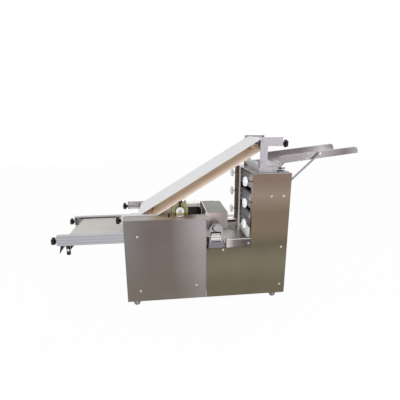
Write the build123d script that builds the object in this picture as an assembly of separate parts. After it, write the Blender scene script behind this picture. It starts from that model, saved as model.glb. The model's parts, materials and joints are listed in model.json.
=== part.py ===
from build123d import *
import os
from math import atan2, cos, degrees, hypot, radians, sin

os.makedirs("parts", exist_ok=True)

# Dough sheeting and cutting machine with a trim-return belt. Millimetres, +Z up.
# X runs from the outlet on the left to the infeed trough on the right and is counted
# from the left end of the cabinet. Y runs across the machine, near side negative.
# The finished pieces are shifted so that the origin is under the middle of the machine.

# Body
WIDTH = 505.0
CABINET_LENGTH = 592.0
NOTCH_LENGTH = 335.0
TOWER_LENGTH = 285.0
TOWER_TOP = 1000.0
CABINET_TOP = 684.0
NOTCH_TOP = 448.0
PANEL_BOTTOM = 55.0
SHEET = 2.0
PANEL_GAP = 1.5
FLANGE = 26.0
LIP_DEPTH = 40.0
LIP_RISE = 20.0
NOTCH_LIP = 8.0
PLATE = 16.0
PLATE_ROOM = 28.5
PLATE_SETBACK = 4.0
PLATE_DROP = 10.0
TIE_R = 11.0
DECK_SHORT = 32.0
OUTLET_CORNER = 95.0

# Base frame and wheels
TUBE = 40.0
TUBE_WALL = 3.0
FRAME_BOTTOM = 97.0
JACK_PAD = (48.0, 120.0)
JACK_PAD_THICK = 8.0
WHEEL_R = 25.0
WHEEL_WIDTH = 20.0
CASTOR_TRAIL = 18.0
CASTOR_INSET_X = 82.0
FORK_WALL = 4.0
AXLE_R = 5.0
PIVOT_R = 8.0

# Fits
FIT = 0.05
GAP = 0.4
BELT_GAP = 0.3

# Sheeting rolls
ROLL_R = 48.0
ROLL_END_ROOM = 16.0
ROLL_SHAFT_R = 12.5
ROLL_PITCH = 160.0
ROLL_PAIRS = 3
TOP_ROLL_DROP = 60.0
NIP_INSET = 116.0
MIN_NIP = 2.0
GAP_TRAVEL = 8.0
BLOCK_LENGTH = 60.0
BLOCK_HEIGHT = 56.0
BLOCK_PROUD = 4.0
BLOCK_BORE = 16.0
BEARING_WALL = 7.5
GEAR_WIDTH = 12.0
GEAR_TEETH = 16
SCREW_R = 4.0
SCREW_REACH = 32.0
HAND_WHEEL_R = 35.0
HAND_WHEEL_RIM = 18.0
HAND_WHEEL_HUB = 8.0
BLADE_GAP = 0.6
BLADE_DROP = 66.0
BLADE_BAR = 12.0

# Outlet belt
RAIL_REACH = 462.0
RAIL_DROP = 96.0
RAIL_HEIGHT = 71.0
RAIL_DEPTH = 38.0
RAIL_WALL = 4.0
RAIL_TONGUE = 160.0
TONGUE_LAP = 120.0
ROLLER_R = 25.0
BELT = 2.5
BELT_EDGE_ROOM = 8.0
OUTLET_AXIS_DROP = 42.0
NOSE_INSET = 88.0
DEAD_AXLE_R = 8.0

# Take-up screws and star knobs
TAKEUP_TRAVEL = 20.0
TAKEUP_SCREW_R = 5.0
TAKEUP_BORE = 36.0
TAKEUP_BLOCK = 68.0
TAKEUP_BACK = 18.0
KNOB_R = 28.0
KNOB_LOBE_R = 9.0
KNOB_LOBES = 5
KNOB_THICK = 22.0
KNOB_HUB_R = 13.0
KNOB_HUB = 15.0
KNOB_TIP = 6.0

# Trim-return belt
RETURN_LOW_X = 126.0
RETURN_LOW_DROP = 11.0
RETURN_HEAD_INSET = 79.0
RETURN_HEAD_DROP = 45.0
RETURN_ROLLER_R = 34.0
RETURN_EDGE_ROOM = 18.0
FOOT_LEFT = -15.0
FOOT_LENGTH = 245.0
FOOT_RISE = 40.0
FOOT_DROP = 26.0
FOOT_DEPTH = 16.0
CHANNEL_WALL = 3.0
LAGGED_R = 60.0
LAGGED_STATION = 267.6
LAGGED_SHORT = 8.0
BED_CLEAR = 62.0
BED_INSET = 50.0
HANGER_STUD_R = 6.0

# Head brackets
HEAD_INSET = 52.0
HEAD_POST = 56.0
HEAD_ARM = 164.0
HEAD_RISE = 252.0
HEAD_ARM_HEIGHT = 62.0
HEAD_FOOT_HEIGHT = 44.0
HEAD_DEPTH = 24.0

# Infeed trough and hopper
TROUGH_INSET = 219.0
TROUGH_LENGTH = 606.0
TROUGH_RISE = 74.0
TROUGH_LIFT = 57.0
TROUGH_EDGE_ROOM = 38.0
TROUGH_WALL_INNER = 55.0
TROUGH_WALL_OUTER = 48.0
TROUGH_CORNER = 30.0
BRACE_R = 7.5
BRACE_STATION = 296.0
BRACE_RISE = 38.0
BRACE_DROP = 77.0
HOPPER_HEIGHT = 88.0
HOPPER_MOUTH = 70.0

# Cutter, hood and catch tray
CUTTER_R = 30.0
CUTTER_CORE_R = 22.0
CUTTER_INSET = 73.0
CUTTER_LIFT = 0.7
CUTTER_SHAFT_R = 12.0
CUTTER_RINGS_ACROSS = 3
CUTTER_RING_HALF_X = 28.5
CUTTER_RING_GAP = 14.0
CUTTER_EDGE = 3.0
STAND_LENGTH = 97.0
STAND_CROWN_DROP = 15.0
STAND_THICK = 12.0
STAND_SKIN = 4.5
STAND_SLOT = 37.0
STAND_FOOT = 60.0
STAND_LUG = 7.0
PINION_TEETH = 16
CUTTER_GEAR_TEETH = 16
HOOD_INSET = 16.0
HOOD_LENGTH = 156.0
HOOD_HEIGHT = 124.0
HOOD_LIFT = 31.0
HOOD_EDGE_ROOM = 33.0
HOOD_EAR = 22.0
TRAY_INSET = 150.0
TRAY_LIFT = 12.0
APRON_HEIGHT = 65.0
APRON_DEPTH = 34.0
RAMP_LENGTH = 81.0
RAMP_RISE = 85.0

# Drive
DRIVE_Z = 250.0
SPROCKET_R = 32.0
SPROCKET_WIDTH = 6.0
CHAIN = 6.0
CHAIN_GAP = 0.6
DRIVE_SHAFT_R = 12.0
GEARBOX = 104.0
MOTOR_R = 62.0
MOTOR_LENGTH = 230.0
MOTOR_PLATE = 10.0
MOTOR_PLATE_ROOM = 58.0
MOTOR_FOOT = (110.0, 80.0)
MOTOR_FOOT_INSET = 40.0
TERMINAL_BOX = (80.0, 72.0)
TERMINAL_RISE = 30.0

# Control box
BOX_WIDTH = 120.0
BOX_HEIGHT = 170.0
BOX_DEPTH = 60.0
BOX_DROP = 300.0
BUTTON_R = 18.0
BUTTON_STEM_R = 8.0
BUTTON_TRAVEL = 5.0
BUTTON_CAP = 12.0
GLAND_R = 11.0
GLAND_BORE_R = 5.0
GLAND_LENGTH = 16.0

# Places across the machine
HALF = WIDTH / 2
PANEL_IN = HALF - SHEET
PLATE_OUT = HALF - PLATE_ROOM
PLATE_IN = PLATE_OUT - PLATE
CASTOR_Y = (PLATE_IN + PLATE_OUT) / 2
ROLL_FACE = 2 * (PLATE_IN - ROLL_END_ROOM)
OUTLET_BELT_WIDTH = 2 * (PLATE_IN - BELT_EDGE_ROOM)
RETURN_BELT_WIDTH = 2 * (PLATE_IN - RETURN_EDGE_ROOM)
LAGGED_FACE = RETURN_BELT_WIDTH - LAGGED_SHORT
TROUGH_WIDTH = 2 * (PLATE_IN - TROUGH_EDGE_ROOM)
HOOD_WIDTH = 2 * (PLATE_IN - HOOD_EDGE_ROOM)
GEAR_Y = PLATE_OUT + 3.0
RAIL_IN = PLATE_IN - 2.0
RAIL_OUT = RAIL_IN + RAIL_DEPTH
FOOT_OUT = PLATE_IN
FOOT_IN = FOOT_OUT - FOOT_DEPTH
HEAD_OUT = PLATE_IN + 12.0
HEAD_IN = HEAD_OUT - HEAD_DEPTH
CHAIN_NEAR_Y = PLATE_OUT + 4.0
CHAIN_FAR_Y = CHAIN_NEAR_Y + SPROCKET_WIDTH + 4.0
STAND_OUT = PANEL_IN - 0.5
STAND_IN = STAND_OUT - STAND_THICK
CUTTER_RING_PITCH = (HOOD_WIDTH - 26.0) / CUTTER_RINGS_ACROSS
CUTTER_RING_HALF_Y = (CUTTER_RING_PITCH - CUTTER_RING_GAP) / 2

# Places along the machine
SEAM_X = CABINET_LENGTH
TOWER_X = CABINET_LENGTH + NOTCH_LENGTH
RIGHT_X = TOWER_X + TOWER_LENGTH
NIP_X = TOWER_X + NIP_INSET
GAP_ROLL_X = NIP_X - ROLL_R - MIN_NIP / 2
FIXED_ROLL_X = NIP_X + ROLL_R + MIN_NIP / 2
NOSE_X = NOSE_INSET - RAIL_REACH
CUTTER_X = SEAM_X + CUTTER_INSET
HOOD_LEFT = SEAM_X + HOOD_INSET
TRAY_LEFT = SEAM_X + TRAY_INSET
RAMP_TOP_X = TOWER_X + RAMP_LENGTH
RETURN_HEAD_X = TOWER_X + RETURN_HEAD_INSET
HEAD_LEFT = TOWER_X + HEAD_INSET
TROUGH_INNER_X = TOWER_X + TROUGH_INSET
TROUGH_OUTER_X = TROUGH_INNER_X + TROUGH_LENGTH
BRACE_TOP_X = TROUGH_INNER_X + BRACE_STATION
KNOB_REACH = KNOB_HUB + KNOB_THICK + KNOB_TIP
MIDDLE_X = (TROUGH_OUTER_X - RAIL_REACH - KNOB_REACH) / 2

# Heights
FRAME_TOP = FRAME_BOTTOM + TUBE
BELT_IN_R = ROLLER_R + BELT_GAP
BELT_OUT_R = BELT_IN_R + BELT
RETURN_IN_R = RETURN_ROLLER_R + BELT_GAP
RETURN_OUT_R = RETURN_IN_R + BELT
ROLL_Z = [TOWER_TOP - TOP_ROLL_DROP - ROLL_PITCH * i for i in range(ROLL_PAIRS)]
RAIL_TOP = CABINET_TOP - RAIL_DROP
RAIL_BOTTOM = RAIL_TOP - RAIL_HEIGHT
OUTLET_CORNER_Z = RAIL_TOP + 8.0
OUTLET_AXIS_Z = RAIL_TOP - OUTLET_AXIS_DROP
CUTTER_AXIS_Z = OUTLET_AXIS_Z + BELT_OUT_R + CUTTER_R + CUTTER_LIFT
STAND_CROWN = CUTTER_AXIS_Z - STAND_CROWN_DROP
HOOD_BOTTOM = OUTLET_AXIS_Z + HOOD_LIFT
HOOD_TOP = HOOD_BOTTOM + HOOD_HEIGHT
TRAY_FLOOR = NOTCH_TOP + TRAY_LIFT
APRON_TOP = NOTCH_TOP + APRON_HEIGHT
RAMP_TOP_Z = TRAY_FLOOR + RAMP_RISE
HEAD_TOP = TOWER_TOP + HEAD_RISE
RETURN_LOW_Z = CABINET_TOP - RETURN_LOW_DROP
RETURN_HEAD_Z = HEAD_TOP - RETURN_HEAD_DROP
TROUGH_INNER_Z = TOWER_TOP + TROUGH_LIFT
TROUGH_OUTER_Z = TROUGH_INNER_Z + TROUGH_RISE
BRACE_LOW_Z = TOWER_TOP - BRACE_DROP
BOX_Z = TOWER_TOP - BOX_DROP

# Slope of the return belt
RUN_X = RETURN_HEAD_X - RETURN_LOW_X
RUN_Z = RETURN_HEAD_Z - RETURN_LOW_Z
RUN = hypot(RUN_X, RUN_Z)
RUN_DIR = (RUN_X / RUN, RUN_Z / RUN)
RUN_UP = (-RUN_Z / RUN, RUN_X / RUN)


def box(x0, x1, y0, y1, z0, z1):
    """Block between two corners."""
    return Pos((x0 + x1) / 2, (y0 + y1) / 2, (z0 + z1) / 2) * Box(x1 - x0, y1 - y0, z1 - z0)


def rod_y(x, z, radius, y0, y1):
    """Round bar across the machine."""
    return Pos(x, (y0 + y1) / 2, z) * Rot(90, 0, 0) * Cylinder(radius, y1 - y0)


def rod_x(y, z, radius, x0, x1):
    """Round bar along the machine."""
    return Pos((x0 + x1) / 2, y, z) * Rot(0, 90, 0) * Cylinder(radius, x1 - x0)


def rod_z(x, y, radius, z0, z1):
    """Upright round bar."""
    return Pos(x, y, (z0 + z1) / 2) * Cylinder(radius, z1 - z0)


def slab(profile, y0, y1):
    """Side-view profile, drawn as X and Z, made into a plate from y0 to y1."""
    plane = Plane(origin=(0, y1, 0), x_dir=(1, 0, 0), z_dir=(0, -1, 0))
    return extrude(plane * profile, amount=y1 - y0)


def outline(*points):
    """Flat face with straight edges."""
    return make_face(Polyline(*points, close=True))


def area(x0, x1, z0, z1):
    """Flat rectangle between two corners."""
    return Pos((x0 + x1) / 2, (z0 + z1) / 2) * Rectangle(x1 - x0, z1 - z0)


def spot(x, z, radius):
    """Flat disc."""
    return Pos(x, z) * Circle(radius)


def both_sides(shape):
    """A far-side piece and its mirror image on the near side."""
    return [shape, mirror(shape, about=Plane.XZ)]


def save(name, *shapes):
    """Write one node, shifted to the machine's origin."""
    solids = []
    for shape in shapes:
        solids += shape.solids()
    group = solids[0] if len(solids) == 1 else Compound(children=solids)
    export_step(Pos(-MIDDLE_X, 0, 0) * group, f"parts/{name}.step")


def stadium(x0, z0, x1, z1, radius):
    """Flat loop outline round two equal pulleys."""
    length = hypot(x1 - x0, z1 - z0)
    turn = degrees(atan2(z1 - z0, x1 - x0))
    return Pos((x0 + x1) / 2, (z0 + z1) / 2) * Rot(0, 0, turn) * SlotOverall(length + 2 * radius, 2 * radius)


def loop(x0, z0, x1, z1, inner, thickness, y0, y1):
    """Endless belt or chain round two equal pulleys."""
    ring = stadium(x0, z0, x1, z1, inner + thickness) - stadium(x0, z0, x1, z1, inner)
    return slab(ring, y0, y1)


def on_run(distance, rise=0.0):
    """Point on the return belt's centre line, counted from its lower roller."""
    x = RETURN_LOW_X + RUN_DIR[0] * distance + RUN_UP[0] * rise
    z = RETURN_LOW_Z + RUN_DIR[1] * distance + RUN_UP[1] * rise
    return x, z


LAGGED_X, LAGGED_Z = on_run(LAGGED_STATION, -(RETURN_OUT_R + LAGGED_R + GAP))


def gear(x, z, teeth, pitch_r, y0, y1, bore, phase):
    """Spur gear with straight-sided teeth and a little backlash."""
    module = 2 * pitch_r / teeth
    root, tip = pitch_r - 1.2 * module, pitch_r + 0.9 * module
    step = 360.0 / teeth
    wide, narrow = 0.33 * step, 0.12 * step
    points = []
    for i in range(teeth):
        middle = phase + i * step
        for radius, offset in ((root, -wide), (tip, -narrow), (tip, narrow), (root, wide)):
            angle = radians(middle + offset)
            points.append((x + radius * cos(angle), z + radius * sin(angle)))
    return slab(outline(*points) - spot(x, z, bore), y0, y1)


def star_knob(x, y, z, towards):
    """Lobed knob on the X axis, its hub starting at x, with `towards` = -1 or 1 pointing away."""
    lobes = Circle(KNOB_R - KNOB_LOBE_R)
    for i in range(KNOB_LOBES):
        lobes += Rot(0, 0, 360 / KNOB_LOBES * i) * Pos(KNOB_R - KNOB_LOBE_R, 0) * Circle(KNOB_LOBE_R)
    plane = Plane(origin=(x + towards * KNOB_HUB, y, z), x_dir=(0, 1, 0), z_dir=(towards, 0, 0))
    head = extrude(plane * lobes, amount=KNOB_THICK)
    ends = sorted((x + towards * 1.0, x + towards * (KNOB_HUB + KNOB_THICK / 2)))
    tip = sorted((x + towards * KNOB_HUB, x + towards * KNOB_REACH))
    return head + rod_x(y, z, KNOB_HUB_R, *ends) + rod_x(y, z, TAKEUP_SCREW_R, *tip)


def takeup_knob(cap_x, axle_x, y, z, towards):
    """Star knob with the screw that reaches through the end cap into the sliding block."""
    mouth = axle_x + towards * (TAKEUP_BLOCK - TAKEUP_BACK)
    end = mouth - towards * (TAKEUP_BORE - 2.0)
    screw = rod_x(y, z, TAKEUP_SCREW_R, *sorted((end, cap_x + towards * KNOB_HUB)))
    return star_knob(cap_x, y, z, towards) + screw


def takeup_axle(axle_x, z, towards, height, y0, y1, screw_y):
    """Dead axle with a sliding block at each end, each bored for its take-up screw."""
    far_end = axle_x - towards * TAKEUP_BACK
    mouth = axle_x + towards * (TAKEUP_BLOCK - TAKEUP_BACK)
    block = box(*sorted((far_end, mouth)), y0, y1, z - height / 2, z + height / 2)
    bore = rod_x(screw_y, z, TAKEUP_SCREW_R + FIT, *sorted((mouth + towards, mouth - towards * TAKEUP_BORE)))
    near, far = both_sides(block - bore)
    return near + far + rod_y(axle_x, z, DEAD_AXLE_R, -(y0 + 2), y0 + 2)


def idler(x, z, radius, face):
    """Roller tube that turns on a dead axle."""
    return slab(spot(x, z, radius) - spot(x, z, DEAD_AXLE_R + FIT), -face / 2, face / 2)


# Side plates with bearing bores, windows for the gap blocks and screw holes
def side_plate():
    right = RIGHT_X - PLATE_SETBACK
    notch = NOTCH_TOP - PLATE_SETBACK
    profile = outline(
        (PLATE_SETBACK, FRAME_TOP),
        (right, FRAME_TOP),
        (right, TOWER_TOP),
        (TOWER_X, TOWER_TOP),
        (TOWER_X, notch),
        (SEAM_X, notch),
        (SEAM_X, CABINET_TOP - PLATE_DROP),
        (OUTLET_CORNER, CABINET_TOP - PLATE_DROP),
        (OUTLET_CORNER, OUTLET_CORNER_Z),
        (PLATE_SETBACK, OUTLET_CORNER_Z),
    )
    window_left = GAP_ROLL_X - BLOCK_LENGTH / 2 - GAP_TRAVEL - GAP
    window_right = GAP_ROLL_X + BLOCK_LENGTH / 2 + GAP
    for z in ROLL_Z:
        profile -= spot(FIXED_ROLL_X, z, ROLL_SHAFT_R + BEARING_WALL)
        profile -= area(window_left, window_right, z - BLOCK_HEIGHT / 2 - GAP, z + BLOCK_HEIGHT / 2 + GAP)
    for x in (FIXED_ROLL_X, CUTTER_X):
        profile -= spot(x, DRIVE_Z, DRIVE_SHAFT_R + BEARING_WALL)
    plate = slab(profile, PLATE_IN, PLATE_OUT)
    for z in ROLL_Z:
        plate -= rod_x((PLATE_IN + PLATE_OUT) / 2, z, SCREW_R + FIT, TOWER_X - 1, window_left + 1)
    return plate


# Cabinet panel: one folded sheet with a sloping top lip and an end flange
def cabinet_panel():
    panel = box(0, SEAM_X, PANEL_IN, HALF, PANEL_BOTTOM, CABINET_TOP)
    panel += box(0, SHEET, HALF - FLANGE, HALF, PANEL_BOTTOM, CABINET_TOP)
    plane = Plane(origin=(0, 0, 0), x_dir=(0, 1, 0), z_dir=(1, 0, 0))
    lip = outline(
        (HALF, CABINET_TOP - SHEET),
        (HALF, CABINET_TOP),
        (HALF - LIP_DEPTH, CABINET_TOP + LIP_RISE),
        (HALF - LIP_DEPTH, CABINET_TOP + LIP_RISE - SHEET),
    )
    return panel + extrude(plane * lip, amount=SEAM_X)


def far_cabinet_panel():
    """The far panel leaves the corner above the outlet rail open."""
    corner = box(-1, OUTLET_CORNER, 0, HALF + 1, OUTLET_CORNER_Z, CABINET_TOP + LIP_RISE + 1)
    return cabinet_panel() - corner


# Tower panel: one L-shaped folded sheet with flanges along its edges
def tower_panel():
    left = SEAM_X + PANEL_GAP
    profile = outline(
        (left, PANEL_BOTTOM),
        (RIGHT_X, PANEL_BOTTOM),
        (RIGHT_X, TOWER_TOP),
        (TOWER_X, TOWER_TOP),
        (TOWER_X, NOTCH_TOP),
        (left, NOTCH_TOP),
    )
    panel = slab(profile, PANEL_IN, HALF)
    flange_y = HALF - FLANGE
    panel += box(TOWER_X, RIGHT_X, flange_y, HALF, TOWER_TOP - SHEET, TOWER_TOP)
    panel += box(TOWER_X, TOWER_X + SHEET, flange_y, HALF, NOTCH_TOP - SHEET, TOWER_TOP)
    panel += box(RIGHT_X - SHEET, RIGHT_X, flange_y, HALF, PANEL_BOTTOM, TOWER_TOP)
    stand = STAND_LENGTH / 2 + PANEL_GAP
    for x0, x1 in ((left, CUTTER_X - stand), (CUTTER_X + stand, TOWER_X)):
        panel += box(x0, x1, HALF - NOTCH_LIP, HALF, NOTCH_TOP - SHEET, NOTCH_TOP)
    return panel


# End panels stand behind the flanges of the side panels. A deck between the foot brackets and
# the lagged roller lies on the side plates and keeps flour off the outlet belt
def end_panels():
    left = box(SHEET, PLATE_SETBACK, -PANEL_IN, PANEL_IN, PANEL_BOTTOM + SHEET, RAIL_BOTTOM - 14)
    right = box(RIGHT_X - PLATE_SETBACK, RIGHT_X - SHEET, -PANEL_IN, PANEL_IN,
                PANEL_BOTTOM + SHEET, TOWER_TOP - SHEET)
    deck_z = CABINET_TOP - PLATE_DROP
    deck_half = PLATE_OUT - 2.0
    deck_left = FOOT_LEFT + FOOT_LENGTH + 2.0
    deck = box(deck_left, LAGGED_X - DECK_SHORT, -deck_half, deck_half, deck_z, deck_z + SHEET)
    return left, right, deck


# Base frame of square tube, with the fixed castor forks at the tower end and a pad for a jack
CASTOR_X = [CASTOR_INSET_X, RIGHT_X - CASTOR_INSET_X]
FIXED_WHEEL_X = CASTOR_X[1]
MOTOR_X = FIXED_ROLL_X - GEARBOX / 2 - MOTOR_LENGTH


def tube_x(y, x0, x1):
    hollow = box(x0 - 1, x1 + 1, y - TUBE / 2 + TUBE_WALL, y + TUBE / 2 - TUBE_WALL,
                 FRAME_BOTTOM + TUBE_WALL, FRAME_TOP - TUBE_WALL)
    return box(x0, x1, y - TUBE / 2, y + TUBE / 2, FRAME_BOTTOM, FRAME_TOP) - hollow


def base_frame():
    y = (PLATE_IN + PLATE_OUT) / 2
    end = RIGHT_X - PLATE_SETBACK
    frame = tube_x(y, PLATE_SETBACK, end) + tube_x(-y, PLATE_SETBACK, end)
    inner = y - TUBE / 2
    middle_x = MOTOR_X + TUBE
    for x in (CASTOR_X[0], middle_x, CASTOR_X[1]):
        frame += box(x - TUBE / 2, x + TUBE / 2, -inner, inner, FRAME_BOTTOM, FRAME_TOP)
    pad_x, pad_y = JACK_PAD[0] / 2, JACK_PAD[1] / 2
    frame += box(middle_x - pad_x, middle_x + pad_x, -pad_y, pad_y,
                 FRAME_BOTTOM - JACK_PAD_THICK, FRAME_BOTTOM)
    top = FRAME_BOTTOM
    for side in (-1, 1):
        middle = side * CASTOR_Y
        for cheek in (-1, 1):
            face = middle + cheek * (WHEEL_WIDTH / 2 + 2)
            ears = sorted((face, face + cheek * FORK_WALL))
            profile = area(FIXED_WHEEL_X - 12, FIXED_WHEEL_X + 12, WHEEL_R, top)
            profile += spot(FIXED_WHEEL_X, WHEEL_R, 12)
            profile -= spot(FIXED_WHEEL_X, WHEEL_R, AXLE_R + FIT)
            frame += slab(profile, *ears)
    for side in (-1, 1):
        pivot = (CASTOR_X[0], side * CASTOR_Y)
        frame += rod_z(*pivot, 2 * PIVOT_R, FRAME_BOTTOM, FRAME_TOP)
        frame -= rod_z(*pivot, PIVOT_R + FIT, FRAME_BOTTOM - 1, FRAME_TOP + 1)
    return frame


def swivel_fork(y):
    x = CASTOR_X[0]
    wheel_x = x - CASTOR_TRAIL
    top = FRAME_BOTTOM - GAP
    fork = rod_z(x, y, PIVOT_R, top - 3, FRAME_TOP - 2)
    fork += rod_z(x, y, 22, top - FORK_WALL, top)
    for cheek in (-1, 1):
        face = y + cheek * (WHEEL_WIDTH / 2 + 2)
        ears = sorted((face, face + cheek * FORK_WALL))
        profile = outline((x - 16, top), (x + 16, top), (wheel_x + 10, WHEEL_R), (wheel_x - 10, WHEEL_R))
        profile += spot(wheel_x, WHEEL_R, 11)
        fork += slab(profile - spot(wheel_x, WHEEL_R, AXLE_R + FIT), *ears)
    return fork


def castor_wheel(x, y):
    half = WHEEL_WIDTH / 2
    pin = half + 2 + FORK_WALL
    wheel = slab(spot(x, WHEEL_R, WHEEL_R), y - half, y + half)
    return wheel + rod_y(x, WHEEL_R, AXLE_R, y - pin, y + pin)


# Tie bars between the side plates
def tie_bars():
    low, right = FRAME_TOP + 73.0, RIGHT_X - 40.0
    places = [(60, low), (60, RAIL_BOTTOM - 46), (SEAM_X - 52, low), (SEAM_X - 52, NOTCH_TOP - 28)]
    places += [(right, DRIVE_Z + 80), (right, TOWER_TOP - 40)]
    return [rod_y(x, z, TIE_R, -PLATE_IN, PLATE_IN) for x, z in places]


# Outlet rails: channels open inwards, with an end cap for the take-up screw and a tongue
# that lies along the inside of the side plate
def outlet_rail():
    length = (-RAIL_REACH, -1.0)
    rail = box(*length, RAIL_OUT - RAIL_WALL, RAIL_OUT, RAIL_BOTTOM, RAIL_TOP)
    rail += box(*length, RAIL_IN, RAIL_OUT, RAIL_TOP - RAIL_WALL, RAIL_TOP)
    rail += box(*length, RAIL_IN, RAIL_OUT, RAIL_BOTTOM, RAIL_BOTTOM + RAIL_WALL)
    rail += box(-RAIL_REACH, -RAIL_REACH + RAIL_WALL, RAIL_IN, RAIL_OUT, RAIL_BOTTOM, RAIL_TOP)
    rail += box(-TONGUE_LAP, RAIL_TONGUE, PLATE_IN - RAIL_WALL, PLATE_IN, RAIL_BOTTOM, RAIL_TOP - RAIL_WALL)
    middle = (RAIL_IN + RAIL_OUT - RAIL_WALL) / 2
    return rail - rod_x(middle, OUTLET_AXIS_Z, TAKEUP_SCREW_R + FIT, -RAIL_REACH - 1, -RAIL_REACH + 9)


# Slider beds that carry the two belts. The sloped one rests on the foot brackets and hangs
# from the head brackets, below their arms
HANGER_IN = RETURN_BELT_WIDTH / 2 + 2.0
HANGER_TOP_Z = HEAD_TOP - HEAD_ARM_HEIGHT - 4.0
HANGER_TOE = [(HEAD_LEFT + 34.0, HANGER_TOP_Z), (HEAD_LEFT + 34.0, HANGER_TOP_Z - 22.0)]


def slider_beds():
    half = OUTLET_BELT_WIDTH / 2 - 6
    top = OUTLET_AXIS_Z + BELT_IN_R
    left, right = NOSE_X + ROLLER_R + TAKEUP_TRAVEL + 12, CUTTER_X - ROLLER_R - 12
    flat = box(left, right, -half, half, top - 3, top)
    tongue_in = PLATE_IN - RAIL_WALL
    for x in (30 - TONGUE_LAP, RAIL_TONGUE - 30):
        flat += box(x - 10, x + 10, -tongue_in, tongue_in, top - 15, top - 3)
    start, end = BED_CLEAR, RUN - BED_CLEAR
    face = RETURN_IN_R
    corners = [on_run(start, face), on_run(end, face), on_run(end, face - 3), on_run(start, face - 3)]
    half = RETURN_BELT_WIDTH / 2 - BED_INSET
    sloped = slab(outline(*corners), -half, half)
    rib = outline(on_run(start, face), on_run(end, face), on_run(end, face - 14), on_run(start, face - 14))
    rest_x = on_run(start + 6)[0]
    rest_z = RETURN_LOW_Z + FOOT_RISE
    post = outline((rest_x, rest_z), (rest_x + 26, rest_z), on_run(start + 32, face), on_run(start, face))
    for side in (-1, 1):
        sloped += slab(rib, *sorted((side * half / 2, side * (half / 2 - 4))))
        sloped += slab(post, *sorted((side * half, side * (half - 4))))
    sloped += box(rest_x, rest_x + 26, -FOOT_OUT + CHANNEL_WALL, FOOT_OUT - CHANNEL_WALL, rest_z, rest_z + 10)
    head = outline(*[on_run(end - a, b) for a, b in ((24, face), (0, face), (0, 2), (24, 2))])
    sloped += slab(head, -HANGER_IN, HANGER_IN)
    hanger = outline(on_run(end - 24, 14), on_run(end, 14), *HANGER_TOE)
    stud_x = (HANGER_TOE[0][0] + HANGER_TOE[1][0]) / 2 - 8
    stud_z = (HANGER_TOE[0][1] + HANGER_TOE[1][1]) / 2
    for side in (-1, 1):
        sloped += slab(hanger, *sorted((side * HANGER_IN, side * (HANGER_IN + CHANNEL_WALL))))
        stud = sorted((side * HANGER_IN, side * (HEAD_OUT - CHANNEL_WALL)))
        sloped += rod_y(stud_x, stud_z, HANGER_STUD_R, *stud)
    return flat, sloped


# Foot brackets: channels open inwards that hold the lower roller of the return belt
def foot_bracket():
    right = FOOT_LEFT + FOOT_LENGTH
    low, high = RETURN_LOW_Z - FOOT_DROP, RETURN_LOW_Z + FOOT_RISE
    web = area(FOOT_LEFT, right, low, high)
    bracket = slab(web, FOOT_OUT - CHANNEL_WALL, FOOT_OUT)
    for z in (low, high - CHANNEL_WALL):
        bracket += box(FOOT_LEFT, right, FOOT_IN, FOOT_OUT, z, z + CHANNEL_WALL)
    bracket += box(FOOT_LEFT, FOOT_LEFT + RAIL_WALL, FOOT_IN, FOOT_OUT, low, high)
    middle = (FOOT_IN + FOOT_OUT - CHANNEL_WALL) / 2
    return bracket - rod_x(middle, RETURN_LOW_Z, TAKEUP_SCREW_R + FIT, FOOT_LEFT - 1, FOOT_LEFT + 9)


# Head brackets: upside-down L plates with a channel arm for the head roller
def head_bracket():
    right, post = HEAD_LEFT + HEAD_ARM, HEAD_LEFT + HEAD_POST
    arm_low = HEAD_TOP - HEAD_ARM_HEIGHT
    web = area(HEAD_LEFT, post, TOWER_TOP, HEAD_TOP)
    web += area(HEAD_LEFT, right, arm_low, HEAD_TOP)
    web += area(HEAD_LEFT, right, TOWER_TOP, TOWER_TOP + HEAD_FOOT_HEIGHT)
    bracket = slab(web, HEAD_OUT - CHANNEL_WALL, HEAD_OUT)
    for z in (arm_low, HEAD_TOP - CHANNEL_WALL):
        bracket += box(HEAD_LEFT, right, HEAD_IN, HEAD_OUT, z, z + CHANNEL_WALL)
    bracket += box(right - RAIL_WALL, right, HEAD_IN, HEAD_OUT, arm_low, HEAD_TOP)
    middle = (HEAD_IN + HEAD_OUT - CHANNEL_WALL) / 2
    return bracket - rod_x(middle, RETURN_HEAD_Z, TAKEUP_SCREW_R + FIT, right - 9, right + 1)


# Lagged drive roller below the return belt
def lagged_roller():
    half = LAGGED_FACE / 2
    roller = rod_y(LAGGED_X, LAGGED_Z, LAGGED_R, -half, half)
    return roller + rod_y(LAGGED_X, LAGGED_Z, ROLL_SHAFT_R, -(PLATE_IN - 2), PLATE_IN - 2)


# Bearings: flanged bushes of the rolls and drive shafts, and upright blocks of the lagged roller
def bearings():
    found = []
    places = [(FIXED_ROLL_X, z, ROLL_SHAFT_R) for z in ROLL_Z]
    places += [(x, DRIVE_Z, DRIVE_SHAFT_R) for x in (FIXED_ROLL_X, CUTTER_X)]
    for x, z, shaft_r in places:
        bush = slab(spot(x, z, shaft_r + BEARING_WALL) - spot(x, z, shaft_r + FIT), PLATE_IN, PLATE_OUT)
        collar = spot(x, z, shaft_r + BEARING_WALL + 6) - spot(x, z, shaft_r + FIT)
        found += both_sides(bush + slab(collar, PLATE_IN - 5, PLATE_IN))
    radius = 30.0
    block = area(LAGGED_X - radius, LAGGED_X + radius, CABINET_TOP - 70, LAGGED_Z)
    block += spot(LAGGED_X, LAGGED_Z, radius)
    block -= spot(LAGGED_X, LAGGED_Z, ROLL_SHAFT_R + FIT)
    return found + both_sides(slab(block, PLATE_IN - 14, PLATE_IN))


# Sheeting rolls with their gears on the near side and sprockets on the far side
PITCH_R = (FIXED_ROLL_X - GAP_ROLL_X) / 2


def roll(x, z, near_end, far_end):
    half = ROLL_FACE / 2
    return rod_y(x, z, ROLL_R, -half, half) + rod_y(x, z, ROLL_SHAFT_R, near_end, far_end)


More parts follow.
